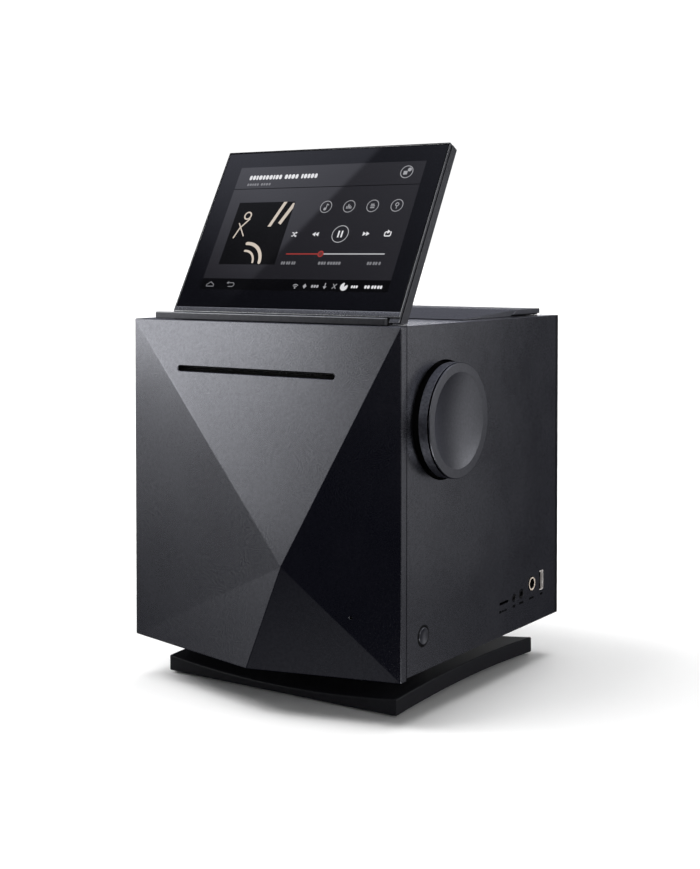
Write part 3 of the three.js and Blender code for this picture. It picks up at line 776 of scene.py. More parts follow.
place("left_side_skin", plate_mesh("left_side", rounded_rect(yF, yR, -SIDE_H, 0, 0.35, 3), [], XS - WALL, XS, put_left, 0.35, 3),
      METAL_SIDE, "chassis", "left_side_panel")
yb = DEPTH - WALL
CP = (84.0, -186.0, -146.0)
put_rear = lambda a, b, t: W(a, t, b)
place("rear_skin", plate_mesh("rear", rounded_rect(-HALF_W, HALF_W, -SIDE_H, 0, 0.35, 3),
      [rounded_rect(-CP[0] - GAP, CP[0] + GAP, CP[1] - GAP, CP[2] + GAP, 0.4, 3)], yb, DEPTH, put_rear, 0.35, 3, 0.25),
      METAL_REAR, "chassis", "rear_panel")
SX = dict(xlrA=-66, xlrB=-34, bnc=-4, net=22, power=58)
SZ = -166.0
socket_holes = [rounded_rect(x - 10, x + 10, SZ - 10, SZ + 10, 1, 4) for x in (SX["xlrA"], SX["xlrB"])]
socket_holes += [rounded_rect(SX["bnc"] - 6, SX["bnc"] + 6, SZ - 6, SZ + 6, 1, 4),
                 rounded_rect(SX["net"] - 8.3, SX["net"] + 8.3, SZ - 7.1, SZ + 7.1, 0.5, 4),
                 rounded_rect(SX["power"] - 14, SX["power"] + 14, SZ - 10.3, SZ + 10.3, 1, 4)]
place("connector_plate_skin", plate_mesh("connector", rounded_rect(-CP[0], CP[0], CP[1], CP[2], 0.3, 3), socket_holes,
      yb + 0.2, DEPTH - 0.2, put_rear, 0.2, 2, 0.15), PLASTIC_REAR, "chassis", "connector_plate")

# the top plate takes the lighter copy: painted light
refine("top_plate", TOP_PAINTED_LIGHT, "chassis", 0.25)
refine("bottom_plate", METAL, "chassis", 0.3)
rail_o = refine("deck_front_rail", METAL_RAIL, "chassis", 0.5, 3)
# the rail's upward faces take the pale copy: a painted highlight along its top edge
paint_faces(rail_o, [EDGE_PAINTED_HIGHLIGHT], lambda x, y, z, n: int(n.z > 0.25))
ramp_o = refine("deck_ramp", METAL_DECK, "chassis", 0.12, 2, 12.0)
# the ramp's right-facing side faces get the lighter copy: painted light where light falls on them
paint_faces(ramp_o, [SIDE_PAINTED_LIGHT], lambda x, y, z, n: int(n.x > 0.5))
cover_o = refine("deck_rear_cover", METAL_DECK, "chassis", 0.4, 3)
# the cover's plinth below 1.05 mm is painted near-black as the shade of the gap under the cover; its right-facing sides
# take painted light
paint_faces(cover_o, [BLACK_AND_PAINTED_SHADE, SIDE_PAINTED_LIGHT], lambda x, y, z, n: 1 if z < 1.05 and (abs(n.z) < 0.5 or n.z < -0.9) else 2 * int(n.x > 0.5))

# -------------------------------------------------------------- display hinge
for side, s in (("left", -1), ("right", 1)):
    xa, xb = (73.5, 80.5) if s > 0 else (-80.5, -73.5)
    refine("hinge_bracket_" + side, PLASTIC, "chassis", 0.2)
    pa, pb = (74.2, 86.6) if s > 0 else (-86.6, -74.2)
    prof = fillet([(0, pa), (PIN_R, pa), (PIN_R, pb), (0, pb)], 0.3, 3, False)
    place(f"hinge_pin_{side}_turned", lathe_mesh("pin", prof, axis_x(HINGE_Y, HINGE_Z), 32), STEEL, "chassis", "hinge_pin_" + side)

# -------------------------------------------------------------------- display
hw = DISP_W / 2
frame_o = refine("display_frame", METAL_DISPLAY, "display", 0.42, 3)
DN = Vector((0, -math.cos(TILT), math.sin(TILT)))


def split_plane(obj, point, normal):
    bm_ = bmesh.new()
    bm_.from_mesh(obj.data)
    bmesh.ops.bisect_plane(bm_, geom=bm_.verts[:] + bm_.edges[:] + bm_.faces[:], dist=1e-7, plane_co=point, plane_no=normal)
    bm_.to_mesh(obj.data)
    bm_.free()


split_plane(frame_o, D(0, 0, 3.9), Vector((0, math.sin(TILT), math.cos(TILT))))


def frame_face(x, y, z, n):
    up = (y - DISP_Y) * math.sin(TILT) + (z - DISP_Z) * math.cos(TILT)
    facing = n.dot(DN)
    if facing < 0.3:
        return 0
    if up < 3.95:
        return 1
    return 2 if facing > 0.93 else 3


# the frame's chamfers, between its front face and its sides, take the pale copy as a painted highlight
paint_faces(frame_o, [METAL_RIM, RIM_BLACK, EDGE_PAINTED_HIGHLIGHT], frame_face)
refine("display_rear_cover", METAL_DISPLAY, "display", 0.35, 3, 16.0)
put_disp = lambda a, b, t: D(a, t, b)
place("display_glass_sheet", plate_mesh("glass", rounded_rect(-hw + 1.2, hw - 1.2, 4.2, DISP_H - 1.25, 0.5, 4), [], 0.35, 1.4,
      lambda a, b, t: D(a, 1.75 - t, b), 0.15, 2), GLASS, "display", "display_glass")


# picture on the display, in units of 0.95 mm from the frame's lower left corner
def q(u, v):
    return 0.95 * u - hw, 0.95 * v


def ui_solid(polys, w0, w1):
    """flat shapes (outline, holes) in display millimetres as one thin mesh"""
    bm = bmesh.new()
    for outline, holes_ in polys:
        loops = [outline] + list(holes_)
        front_, back_ = [], []
        for l in loops:
            front_.append([bm.verts.new(D(x, w0, y)) for x, y in l])
            back_.append([bm.verts.new(D(x, w1, y)) for x, y in l])
        tris = tessellate_polygon([[Vector((x, y, 0)) for x, y in l] for l in loops])
        ff, bb = [v for l in front_ for v in l], [v for l in back_ for v in l]
        for t in tris:
            for side_ in (ff, bb):
                try:
                    bm.faces.new([side_[i] for i in t])
                except ValueError:
                    pass
        for fl, bl in zip(front_, back_):
            n = len(fl)
            for i in range(n):
                bm.faces.new((fl[i], fl[(i + 1) % n], bl[(i + 1) % n], bl[i]))
    return mesh_of(bm, "picture")


def rect(u0, u1, v0, v1):
    (a, b), (c, d) = q(u0, v0), q(u1, v1)
    return [(a, b), (c, b), (c, d), (a, d)]


def pill(u0, u1, v0, v1):
    (a, b), (c, d) = q(u0, v0), q(u1, v1)
    return rounded_rect(a, c, b, d, min(c - a, d - b) * 0.49, 5)


def ring_shape(u, v, r, w, n=48):
    a, b = q(u, v)
    return (circle(a, b, r * 0.95, n), [circle(a, b, (r - w) * 0.95, n)])


def disc_shape(u, v, r, n=40):
    a, b = q(u, v)
    return (circle(a, b, r * 0.95, n), [])


def stroke(pts, w, close=False):
    """a line of constant width through points, as separate bars with round ends"""
    out = []
    p = [q(*x) for x in pts]
    r = w * 0.95 / 2
    segs = list(zip(p[:-1], p[1:])) + ([(p[-1], p[0])] if close else [])
    for (x0, y0), (x1, y1) in segs:
        a = math.atan2(y1 - y0, x1 - x0)
        poly = []
        for cx, cy, s0 in ((x1, y1, a - math.pi / 2), (x0, y0, a + math.pi / 2)):
            for i in range(7):
                t = s0 + math.pi * i / 6
                poly.append((cx + r * math.cos(t), cy + r * math.sin(t)))
        out.append((poly, []))
    return out


def arc_pts(u, v, r, a0, a1, n=14):
    return [(u + r * math.cos(math.radians(a0 + (a1 - a0) * i / n)), v + r * math.sin(math.radians(a0 + (a1 - a0) * i / n))) for i in range(n + 1)]


def poly(pts):
    return ([q(*p) for p in pts], [])


def show(name, polys, mat, level):
    """level 0 lies on the glass, 1 on level 0, and so on"""
    w1 = 0.349 - 0.018 * level
    o = place(name, ui_solid(polys, w1 - 0.016, w1), mat, "display", (), 0)
    return o


SCREEN = lit("picture_ground", (0.0085, 0.0080, 0.0095), 1.0, 1.0, 0.04, 12)
NAV = lit("picture_black", (0.0002, 0.0002, 0.0004), 1.0, 0.06, 0.2)
ART = lit("picture_art_black", (0.0008, 0.0009, 0.0009), 1.0, 0.12, 0.3)
CREAM = lit("picture_cream", (0.62, 0.54, 0.46), 1.0, 0.5, 0.06)
WHITE = lit("picture_white", (0.74, 0.74, 0.76), 1.0)
TRACK = lit("picture_track", (0.46, 0.46, 0.48), 1.0)
PALE = lit("picture_pale", (0.36, 0.36, 0.38), 1.0)
DIM = lit("picture_dim", (0.20, 0.20, 0.215), 1.0)
RED = lit("picture_red", (0.34, 0.035, 0.03), 1.0)
HAIR = lit("picture_line", (0.0008, 0.0008, 0.0012), 1.0, 0.1)

show("screen_ground", [(rect(16, 171.4, 17.7, 116.5), [])], SCREEN, 0)
show("screen_bottom_bar", [(rect(16, 171.4, 17.7, 26.4), [])], NAV, 1)
show("screen_header_line", [(rect(16, 171.4, 98.2, 98.75), [])], HAIR, 1)
show("screen_art_ground", [(rect(25.4, 74.1, 37.5, 87.2), [])], ART, 1)

# abstract drawing in the album square: two bars that run off the top, a bead and a bent wire, two arcs
art = []
art += [poly([(57.2, 67.4), (59.9, 67.4), (67.4, 87.1), (64.6, 87.1)])]
art += [poly([(65.4, 70.2), (67.9, 68.8), (74.0, 82.0), (74.0, 86.0), (72.6, 86.0)])]
art += [ring_shape(36.8, 76.4, 3.3, 1.1)]
art += stroke([(39.4, 73.6), (33.2, 66.4), (30.4, 58.8)], 1.15)
art += stroke([(31.4, 70.2), (38.6, 60.2)], 0.9)
art += stroke(arc_pts(45.0, 38.6, 15.4, 2, 92, 18), 2.5)
art += stroke(arc_pts(45.0, 38.6, 9.6, 4, 92, 14), 1.6)
show("screen_art_marks", art, CREAM, 2)

# words are shown only as runs of plain blocks
def words(u, v, h, widths, gap):
    out, x = [], u
    for w in widths:
        if w > 0:
            out.append((pill(x, x + w, v, v + h), []))
            x += w + gap
        else:
            x += -w
    return out


show("screen_title_blocks", words(26.6, 105.9, 3.7, [2.3, 2.5, 1.7, 2.9, 2.0, 2.5, 2.7, 1.6, 2.5, 2.3, -2.1, 2.5, 2.1, 2.9, 2.3, -2.1, 1.7, 2.5, 2.1, 2.7, 2.3], 0.60), WHITE, 1)
show("screen_subtitle_blocks", words(26.4, 101.0, 2.1, [1.6, 1.9, 1.3, 1.8, 1.6, -1.4, 1.9, 1.5, 2.0, 1.7], 0.5), DIM, 1)
show("screen_time_blocks", words(79.3, 37.5, 2.5, [1.5, 1.5, -0.7, 1.5, 1.5, -0.7, 1.5, 1.4], 0.33)
     + words(110.0, 37.5, 2.5, [1.9, 1.9, 1.5, -0.9, 1.9, 1.7, 1.9, 1.6, 1.9], 0.42)
     + words(149.0, 37.5, 2.5, [1.6, 1.6, -0.6, 1.6, 1.6, -0.6, 1.6], 0.35), DIM, 1)

rings_ = [ring_shape(u, 82.4, 4.75, 0.50) for u in (101.6, 120.6, 139.5, 158.6)] + [ring_shape(158.3, 108.3, 4.9, 0.55)]
show("screen_round_buttons", rings_, PALE, 1)
glyphs = []
glyphs += stroke([(102.0, 84.6), (102.0, 81.0)], 0.6) + [disc_shape(101.1, 80.7, 1.15, 20)] + stroke([(102.0, 84.6), (103.4, 83.8)], 0.6)
for k, hgt in enumerate((2.0, 3.6, 2.7, 1.7)):
    glyphs += [(rect(118.5 + k * 1.15, 119.2 + k * 1.15, 80.6, 80.6 + hgt), [])]
for k in range(3):
    glyphs += [(rect(137.8, 141.2 - 0.6 * (k == 2), 80.7 + k * 1.3, 81.4 + k * 1.3), [])]
glyphs += [ring_shape(158.6, 83.2, 1.5, 0.6, 24)] + stroke([(158.6, 81.4), (158.6, 80.2)], 0.6)
glyphs += [(rect(155.9, 158.9, 106.2, 109.0), [])] + [disc_shape(160.2, 110.0, 1.5, 20)]
show("screen_button_glyphs", glyphs, PALE, 1)

ctrl = [ring_shape(120.4, 61.0, 6.6, 0.5, 64)]
show("screen_play_ring", ctrl, TRACK, 1)
ctrl = [(rect(118.5, 119.7, 58.4, 63.5), []), (rect(121.2, 122.4, 58.4, 63.5), [])]
for u0, s in ((100.2, -1), (141.2, 1)):
    for k in (-1, 1):
        c = u0 + k * 1.3
        ctrl.append(poly([(c - s * 1.3, 59.3), (c + s * 1.3, 61.0), (c - s * 1.3, 62.7)]))
ctrl += stroke([(80.6, 59.7), (81.6, 59.7), (83.2, 62.3), (83.8, 62.3)], 0.6) + stroke([(80.6, 62.3), (81.6, 62.3), (83.2, 59.7), (83.8, 59.7)], 0.6)
ctrl += [poly([(83.6, 61.4), (84.9, 62.3), (83.6, 63.2)]), poly([(83.6, 58.8), (84.9, 59.7), (83.6, 60.6)])]
ctrl += stroke([(160.4, 62.2), (160.4, 59.8), (159.8, 59.2), (156.4, 59.2), (155.8, 59.8), (155.8, 61.6), (156.4, 62.3), (158.2, 62.3)], 0.8) + [poly([(157.6, 60.8), (159.9, 62.4), (157.6, 64.0)])]
show("screen_transport_icons", ctrl, WHITE, 1)

show("screen_track_rest", [(pill(112.0, 160.6, 45.3, 46.2), [])], TRACK, 1)
show("screen_track_played", [(pill(81.0, 107.2, 45.3, 46.2), []), ring_shape(109.6, 45.8, 2.4, 0.8, 32)], RED, 1)
show("screen_track_handle", [disc_shape(109.6, 45.8, 1.55, 28)], lit("picture_red_dim", (0.14, 0.030, 0.028), 1.0), 1)

status = []
status += stroke([(21.4, 20.2), (21.4, 21.6), (24.4, 23.6), (27.4, 21.6), (27.4, 20.2)], 0.6, True)
status += stroke([(39.4, 23.1), (44.2, 23.1), (45.2, 22.1), (45.2, 21.2), (44.2, 20.2), (40.6, 20.2)], 0.6) + [poly([(40.2, 21.9), (38.4, 23.1), (40.2, 24.3)])]
show("screen_bar_keys", status, DIM, 2)
status = []
status += stroke(arc_pts(97.4, 19.6, 2.9, 50, 130, 8), 0.55) + stroke(arc_pts(97.4, 19.6, 1.7, 50, 130, 6), 0.55) + [disc_shape(97.4, 19.9, 0.6, 14)]
status += [poly([(105.1, 19.4), (106.6, 21.3), (105.1, 23.2), (103.6, 21.3)])]
status += words(110.4, 20.2, 2.2, [1.7, 1.7, 1.7], 0.4)
status += stroke([(121.4, 23.6), (121.4, 20.4)], 0.7) + [poly([(119.9, 21.3), (122.9, 21.3), (121.4, 19.4)])]
status += stroke([(127.6, 19.9), (130.4, 23.2)], 0.5) + stroke([(127.8, 23.2), (130.2, 19.9)], 0.5)
show("screen_bar_status", status, PALE, 2)
status = words(142.2, 20.3, 2.1, [1.5, 1.5, 1.5], 0.35)
status += words(152.6, 20.1, 2.5, [1.8, 2.0, -0.9, 1.7, 1.7, -0.4, 1.7, 1.7], 0.36)
show("screen_bar_clock", status, WHITE, 2)
a_, b_ = q(136.6, 21.3)
show("screen_bar_gauge", [([(a_, b_)] + [(a_ + 2.75 * math.cos(math.radians(t)), b_ + 2.75 * math.sin(math.radians(t))) for t in range(90, 391, 10)], [])], WHITE, 2)

# ---------------------------------------------------------------- volume knob
kx = axis_x(KNOB_Y, KNOB_Z)
ring_prof = fillet([(12.3, XS - 6), (36.2, XS - 6), (36.2, XS - 4.2), (12.3, XS - 4.2)], 0.2, 2)
# the ring at the back of the knob's hole is near-black, which also paints the shade in the gap round the knob
place("knob_recess_disc", lathe_mesh("recess", ring_prof, kx, 96), BLACK_AND_PAINTED_SHADE, "chassis", "knob_recess_ring")
prof = fillet([(3.3, XS - 3.6), (KNOB_NECK, XS - 3.6), (KNOB_NECK, XS + 2.8), (KNOB_R, XS + 2.8)], 0.15, 2, False)
prof = [p for p in prof if True]
grip0, grip1, rows = XS + 3.25, XS + 8.35, 12
prof += [(KNOB_R - 0.12, XS + 2.86)]
grip_start = len(prof)
prof += [(KNOB_R, grip0 + (grip1 - grip0) * i / rows) for i in range(rows + 1)]
grip_end = len(prof)
prof += [(KNOB_R - 0.12, XS + 8.6), (KNOB_R - 1.2, XS + 8.6), (KNOB_R - 1.2, XS + 5.5), (3.3, XS + 5.5)]
prof.pop(prof.index((KNOB_R, XS + 2.8))) if (KNOB_R, XS + 2.8) in prof else None
grip_rows = {i for i, p in enumerate(prof) if abs(p[0] - KNOB_R) < 1e-6 and grip0 - 1e-6 <= p[1] <= grip1 + 1e-6}


def grip(r, a, i, t):
    if i not in grip_rows:
        return r
    k = (t - grip0) / (grip1 - grip0)
    fade = min(1, k * 8, (1 - k) * 8)
    n = 150
    return r - 0.02 - 0.11 * fade * (0.5 - 0.25 * (math.sin(n * a + 14 * k) + math.sin(n * a - 14 * k)))


grip_o = place("knob_grip_body", lathe_mesh("knob_body", prof, kx, 600, True, grip), KNOB_BAND, "volume_knob", "volume_knob_body", 40)
# the knob's neck and the faces inside its rim are painted near-black: painted shade in the gap between knob and panel
paint_faces(grip_o, [BLACK_AND_PAINTED_SHADE], lambda x, y, z, n: int(math.hypot(y - KNOB_Y, z - KNOB_Z) < KNOB_R - 0.35))
dish = [(KNOB_DISH * math.sin(math.radians(x)) / math.sin(math.radians(64)), 0) for x in range(0, 65, 4)]
cap = [(0, XS + 5.9), (KNOB_R - 1.6, XS + 5.9), (KNOB_R - 1.6, XS + 9.75), (KNOB_R, XS + 9.75), (KNOB_R, XS + 10.15), (KNOB_R - 0.35, XS + 10.5), (KNOB_DISH + 0.06, XS + 10.5)]
capf = fillet(cap, {"all": 0.15, 4: 0.25, 5: 0.25}, 3, False)
dish_prof = []
for i in range(19):
    s = 1 - i / 18
    r = KNOB_DISH * s
    dish_prof.append((r, XS + 10.5 - 0.05 - 3.22 * (1 - s ** 2.1)))
dish_prof[-1] = (0, dish_prof[-1][1])
cap_o = place("knob_dished_cap", lathe_mesh("knob_cap", capf + dish_prof, kx, 160), KNOB_METAL, "volume_knob", "volume_knob_cap", 11)
# the cap's inner wall and underside inside the grip are painted near-black: painted shade in the groove between grip
# and cap
paint_faces(cap_o, [BLACK_AND_PAINTED_SHADE], lambda x, y, z, n: int(x < XS + 9.7 and n.x < 0.5))

# --------------------------------------------------------------- power button
px = axis_x(POWER_Y, POWER_Z)
prof = fillet([(POWER_R + 0.35, XS - 3), (POWER_RING, XS - 3), (POWER_RING, XS + 0.15), (POWER_R + 0.35, XS + 0.15)], 0.12, 3)
place("power_button_bezel", lathe_mesh("bezel", prof, px, 64), PLASTIC, "chassis", "power_button_ring")
prof = [(0, XS - 5.5), (POWER_R, XS - 5.5), (POWER_R, XS + 0.2)]
prof += [(POWER_R - 0.5 + 0.5 * math.cos(math.radians(t)), XS + 0.2 + 0.3 * math.sin(math.radians(t))) for t in range(15, 91, 15)]
prof += [((POWER_R - 0.6) * s, XS + 0.5 - 0.75 * (1 - s ** 2)) for s in (0.96, 0.88, 0.78, 0.66, 0.52, 0.38, 0.24, 0.12, 0.0)]
place("power_button_cap", lathe_mesh("button", prof, px, 64, False), BUTTON_METAL, "power_button", "power_button", 50)

# --------------------------------------------------------------- side sockets
def shell_mesh(name, y0, y1, z0, z1, t, r, x0, x1, xfloor):
    """open-ended rounded metal tube along X with a floor"""
    outer, inner_ = rounded_rect(y0, y1, z0, z1, r, 5), rounded_rect(y0 + t, y1 - t, z0 + t, z1 - t, max(r - t, 0.1), 5)
    n = len(outer)
    rings = [[W(x0, a, b) for a, b in outer], [W(x1 - 0.1, a, b) for a, b in outer], [W(x1, a, b) for a, b in inset(outer, 0.08)],
             [W(x1, a, b) for a, b in inset(inner_[::-1], 0.06)][::-1], [W(x1 - 0.12, a, b) for a, b in inner_], [W(xfloor, a, b) for a, b in inner_]]
    verts = [v for g in rings for v in g]
    faces = [(j * n + i, j * n + (i + 1) % n, (j + 1) * n + (i + 1) % n, (j + 1) * n + i) for j in range(len(rings) - 1) for i in range(n)]
    faces += [tuple(range(n)), tuple(range((len(rings) - 1) * n, len(rings) * n))]
    return from_lists(name, verts, faces)


usb_o = place("usb_shell_formed", shell_mesh("usb", USB_Y - USB_W / 2, USB_Y + USB_W / 2, USB_Z - USB_H / 2, USB_Z + USB_H / 2, 0.6, 0.7,
      XS - 15, XS + 0.1, XS - 14), SOCKET_STEEL, "chassis", "usb_socket_shell", 40)
# the steel shell's left wall is painted near-black: painted shade where the opening keeps it in shadow
paint_faces(usb_o, [BLACK_AND_PAINTED_SHADE], lambda x, y, z, n: int(y < USB_Y - USB_W / 2 + 0.75 and abs(z - USB_Z) < USB_H / 2 - 0.7))
parts = [(block(XS - 13.7, XS - 0.5, USB_Y - 1.95, USB_Y - 0.1, USB_Z - 5.7, USB_Z + 5.7, 0.15), 0)]
for k in range(4):
    zc = USB_Z - 3.6 + 2.4 * k
    parts.append((block(XS - 10, XS - 1.6, USB_Y - 0.15, USB_Y + 0.02, zc - 0.5, zc + 0.5, 0.05, 1), 1))
place("usb_tongue_contacts", join_meshes("usb_tongue", parts), [PLASTIC, GOLD], "chassis", "usb_socket_tongue")

ring_r = JACK_RING - 0.2
prof = [(JACK_BORE + 0.05, XS - 3.7), (ring_r, XS - 3.7), (ring_r, XS + 0.3)]
prof += [(ring_r - 0.18 + 0.18 * math.cos(math.radians(t)), XS + 0.3 + 0.2 * math.sin(math.radians(t))) for t in range(18, 91, 18)]
prof += [(JACK_BORE + 0.22, XS + 0.44), (JACK_BORE + 0.09, XS + 0.36), (JACK_BORE + 0.05, XS + 0.2)]
jack_o = place("headphone_ring_turned", lathe_mesh("jack_ring", prof, axis_x(JACK_Y, JACK_Z), 72), GOLD_RING, "chassis", "headphone_socket_ring", 40)
# the gold ring's bore and hidden faces are painted near-black: painted shade in the bore
paint_faces(jack_o, [BLACK_AND_PAINTED_SHADE], lambda x, y, z, n: int(n.x < 0.3))


def barrel(name, cy, cz, r, bore, x0, x1, xfloor, mat, node, lead=0.25):
    prof_ = [(0, x0), (r, x0), (r, x1 - 0.15), (r - 0.12, x1), (bore + lead, x1), (bore, x1 - lead), (bore, xfloor), (0, xfloor)]
    return place(name, lathe_mesh(name, prof_, axis_x(cy, cz), 48, False), mat, "chassis", node, 40)


barrel("small_socket_turned", SMALL[0], SMALL[1], SMALL[2], SMALL[3], XS - 16, XS + 0.1, XS - 14.5, PLASTIC, "small_headphone_socket")
barrel("balanced_socket_turned", BALANCED[0], BALANCED[1], BALANCED[2], BALANCED[3], XS - 16, XS + 0.1, XS - 14.5, PLASTIC, "balanced_headphone_socket")
bm = clean_copy("headphone_socket")
edge_round(bm, 0.3e-3, 2)
parts = [(mesh_of(bm, "jack_body"), 0)]
for k, x in enumerate((XS - 9, XS - 17, XS - 25)):
    parts.append((block(x - 1.2, x + 1.2, JACK_Y - 0.8, JACK_Y + 0.8, JACK_Z + JACK_BORE - 0.35, JACK_Z + JACK_BORE + 0.4, 0.12), 1))
place("headphone_socket_moulding", join_meshes("jack", parts), [PLASTIC, GOLD], "chassis", "headphone_socket")
refine("card_reader", SHEET_STEEL, "chassis", 0.15)

# plain printed marks under the side sockets: short bars only
marks = []
for y0, y1, z, t in ((177.2, 180.8, -188.9, 0.75), (161.2, 167.6, -189.1, 0.70), (147.0, 153.0, -189.5, 0.70), (137.6, 141.4, -189.8, 0.85),
                     (119.3, 122.4, -190.1, 0.80), (123.0, 125.6, -190.1, 0.60), (126.2, 129.6, -190.1, 0.60)):
    marks.append((block(XS - 0.05, XS + 0.02, y0, y1, z - t, z + t, 0.01, 1), 0))
place("side_socket_marks", join_meshes("marks", marks), INK, "chassis", (), 0)

# --------------------------------------------------------------- rear sockets
def xlr(name, x, node):
    plate_ = plate_mesh("flange", rounded_rect(x - 13, x + 13, SZ - 15, SZ + 15, 2.2, 6),
                        [circle(x, SZ, 9.0, 64), circle(x - 9.6, SZ + 11.6, 1.7, 24), circle(x + 9.6, SZ - 11.6, 1.7, 24)],
                        DEPTH + 0.1, DEPTH + 1.7, put_rear, 0.35, 3, 0.2)
    prof_ = [(0, DEPTH - 16), (9.6, DEPTH - 16), (9.6, DEPTH + 1.2), (9.3, DEPTH + 2.0), (8.5, DEPTH + 2.2), (7.9, DEPTH + 1.8), (7.8, DEPTH + 1.2), (7.8, DEPTH - 13), (0, DEPTH - 13)]
    parts_ = [(plate_, 0), (lathe_mesh("cup", prof_, axis_y(x, SZ), 96, False), 1)]
    for px_, pz_ in ((-5, 0), (5, 0), (0, -5.4)):
        pin = [(0, DEPTH - 14), (1.2, DEPTH - 14), (1.2, DEPTH - 2.8), (0.95, DEPTH - 2.2), (0.5, DEPTH - 2.0), (0, DEPTH - 1.95)]
        parts_.append((lathe_mesh("pin", pin, axis_y(x + px_, SZ + pz_), 24, False), 2))
    for sx, sz in ((-9.6, 11.6), (9.6, -11.6)):
        head = [(0, DEPTH + 0.2), (1.6, DEPTH + 0.2), (1.6, DEPTH + 1.5), (1.3, DEPTH + 1.75), (0.75, DEPTH + 1.75), (0.75, DEPTH + 0.9), (0, DEPTH + 0.7)]
        parts_.append((lathe_mesh("screw", head, axis_y(x + sx, SZ + sz), 24, False), 1))
    return place(name, join_meshes(name, parts_), [STEEL, PLASTIC, GOLD], "chassis", node, 35)


xlr("xlr_left_assembled", SX["xlrB"], "xlr_output_left")
xlr("xlr_right_assembled", SX["xlrA"], "xlr_output_right")
b = SX["bnc"]
prof = [(0, DEPTH - 10), (5.6, DEPTH - 10), (5.6, DEPTH + 1.2), (5.3, DEPTH + 1.5), (4.8, DEPTH + 1.5), (4.8, DEPTH + 7.8), (4.55, DEPTH + 8.1), (4.15, DEPTH + 8.1), (4.0, DEPTH + 7.9), (4.0, DEPTH - 3), (0, DEPTH - 3)]
parts = [(lathe_mesh("bnc", prof, axis_y(b, SZ), 72, False), 0)]
for s in (-1, 1):
    parts.append((lathe_mesh("lug", [(0, 4.4), (0.95, 4.4), (0.95, 5.5), (0.8, 5.65), (0, 5.65)], lambda x_, y_, t_, s=s: W(b + s * t_, DEPTH + 5.2 + x_, SZ + y_), 20, False), 0))
parts.append((lathe_mesh("dielectric", [(0, DEPTH - 3.2), (2.4, DEPTH - 3.2), (2.4, DEPTH + 5.0), (2.1, DEPTH + 5.3), (0.9, DEPTH + 5.3), (0.9, DEPTH + 2), (0, DEPTH + 2)], axis_y(b, SZ), 48, False), 1))
parts.append((lathe_mesh("centre", [(0, DEPTH - 1), (0.75, DEPTH - 1), (0.75, DEPTH + 4.6), (0.55, DEPTH + 4.9), (0, DEPTH + 4.9)], axis_y(b, SZ), 20, False), 2))
place("coax_socket_turned", join_meshes("coax", parts), [STEEL, INK_PALE, GOLD], "chassis", "digital_coax_socket", 35)
bm = clean_copy("network_socket")
edge_round(bm, 0.2e-3, 2)
parts = [(mesh_of(bm, "net"), 0)]
n0 = SX["net"]
for k in range(8):
    x = n0 - 3.57 + 1.02 * k
    parts.append((block(x - 0.18, x + 0.18, DEPTH - 11, DEPTH - 2.2, SZ + 3.2, SZ + 3.6, 0.05, 1), 1))
parts.append((block(n0 - 5.8, n0 + 5.8, DEPTH - 13.9, DEPTH - 0.4, SZ + 3.7, SZ + 4.35, 0.1, 1), 2))
place("network_socket_finished", join_meshes("network", parts), [STEEL, GOLD, PLASTIC], "chassis", "network_socket")
bm = clean_copy("power_inlet")
edge_round(bm, 0.35e-3, 3)
parts = [(mesh_of(bm, "inlet"), 0)]
p0 = SX["power"]
for dx_, dz_ in ((-7, -1.8), (7, -1.8), (0, 2.4)):
    parts.append((block(p0 + dx_ - 1.05, p0 + dx_ + 1.05, DEPTH - 17.9, DEPTH - 1.9, SZ + dz_ - 2.05, SZ + dz_ + 2.05, 0.35, 2), 1))
place("power_inlet_finished", join_meshes("inlet", parts), [PLASTIC, STEEL], "chassis", "power_inlet")

# small socket-head screws that hold the rear plate, the inlet and the base
def screw(cx, cz, t, r=1.9, deep=0.8):
    hex_r = r * 0.52
    n = 36
    rings = []
    for rr, dy in ((r, -1.0), (r, -0.18), (r - 0.22, 0.0), (hex_r + 0.12, 0.0)):
        rings.append([(cx + rr * math.cos(2 * math.pi * k / n), t + dy, cz + rr * math.sin(2 * math.pi * k / n)) for k in range(n)])
    hexa = []
    for k in range(n):
        a = 2 * math.pi * k / n
        m = (a % (math.pi / 3)) - math.pi / 6
        rr = hex_r * math.cos(math.pi / 6) / math.cos(m)
        hexa.append((cx + rr * math.cos(a), cz + rr * math.sin(a)))
    rings.append([(x, t - 0.08, z) for x, z in hexa])
    rings.append([(x, t - deep, z) for x, z in hexa])
    return loft_mesh("screw", rings)


screws = [(screw(x, z, DEPTH + 0.25), 0) for x in (-79.5, 79.5) for z in (CP[1] + 5, CP[2] - 5)]
screws += [(screw(x, z, DEPTH + 0.3, 2.3, 1.0), 0) for x in (-94, 0, 94) for z in (-11, -197)]
screws += [(screw(SX["power"] + s * 15.6, SZ - 0.0, DEPTH + 2.7, 1.3, 0.6), 0) for s in (-1, 1)]
place("rear_screws", join_meshes("screws", screws), STEEL, "chassis", (), 35)
marks = []
for x0_, x1_, z in ((-72, -60, -184.2), (-40, -28, -184.2), (-8, 0, -174.6), (17, 27, -175.6), (50, 66, -181.6)):
    marks.append((block(x0_, x1_, DEPTH - 0.26, DEPTH - 0.18, z - 0.5, z + 0.5, 0.01, 1), 0))
place("rear_socket_marks", join_meshes("rear_marks", marks), INK_PALE, "chassis", (), 0)

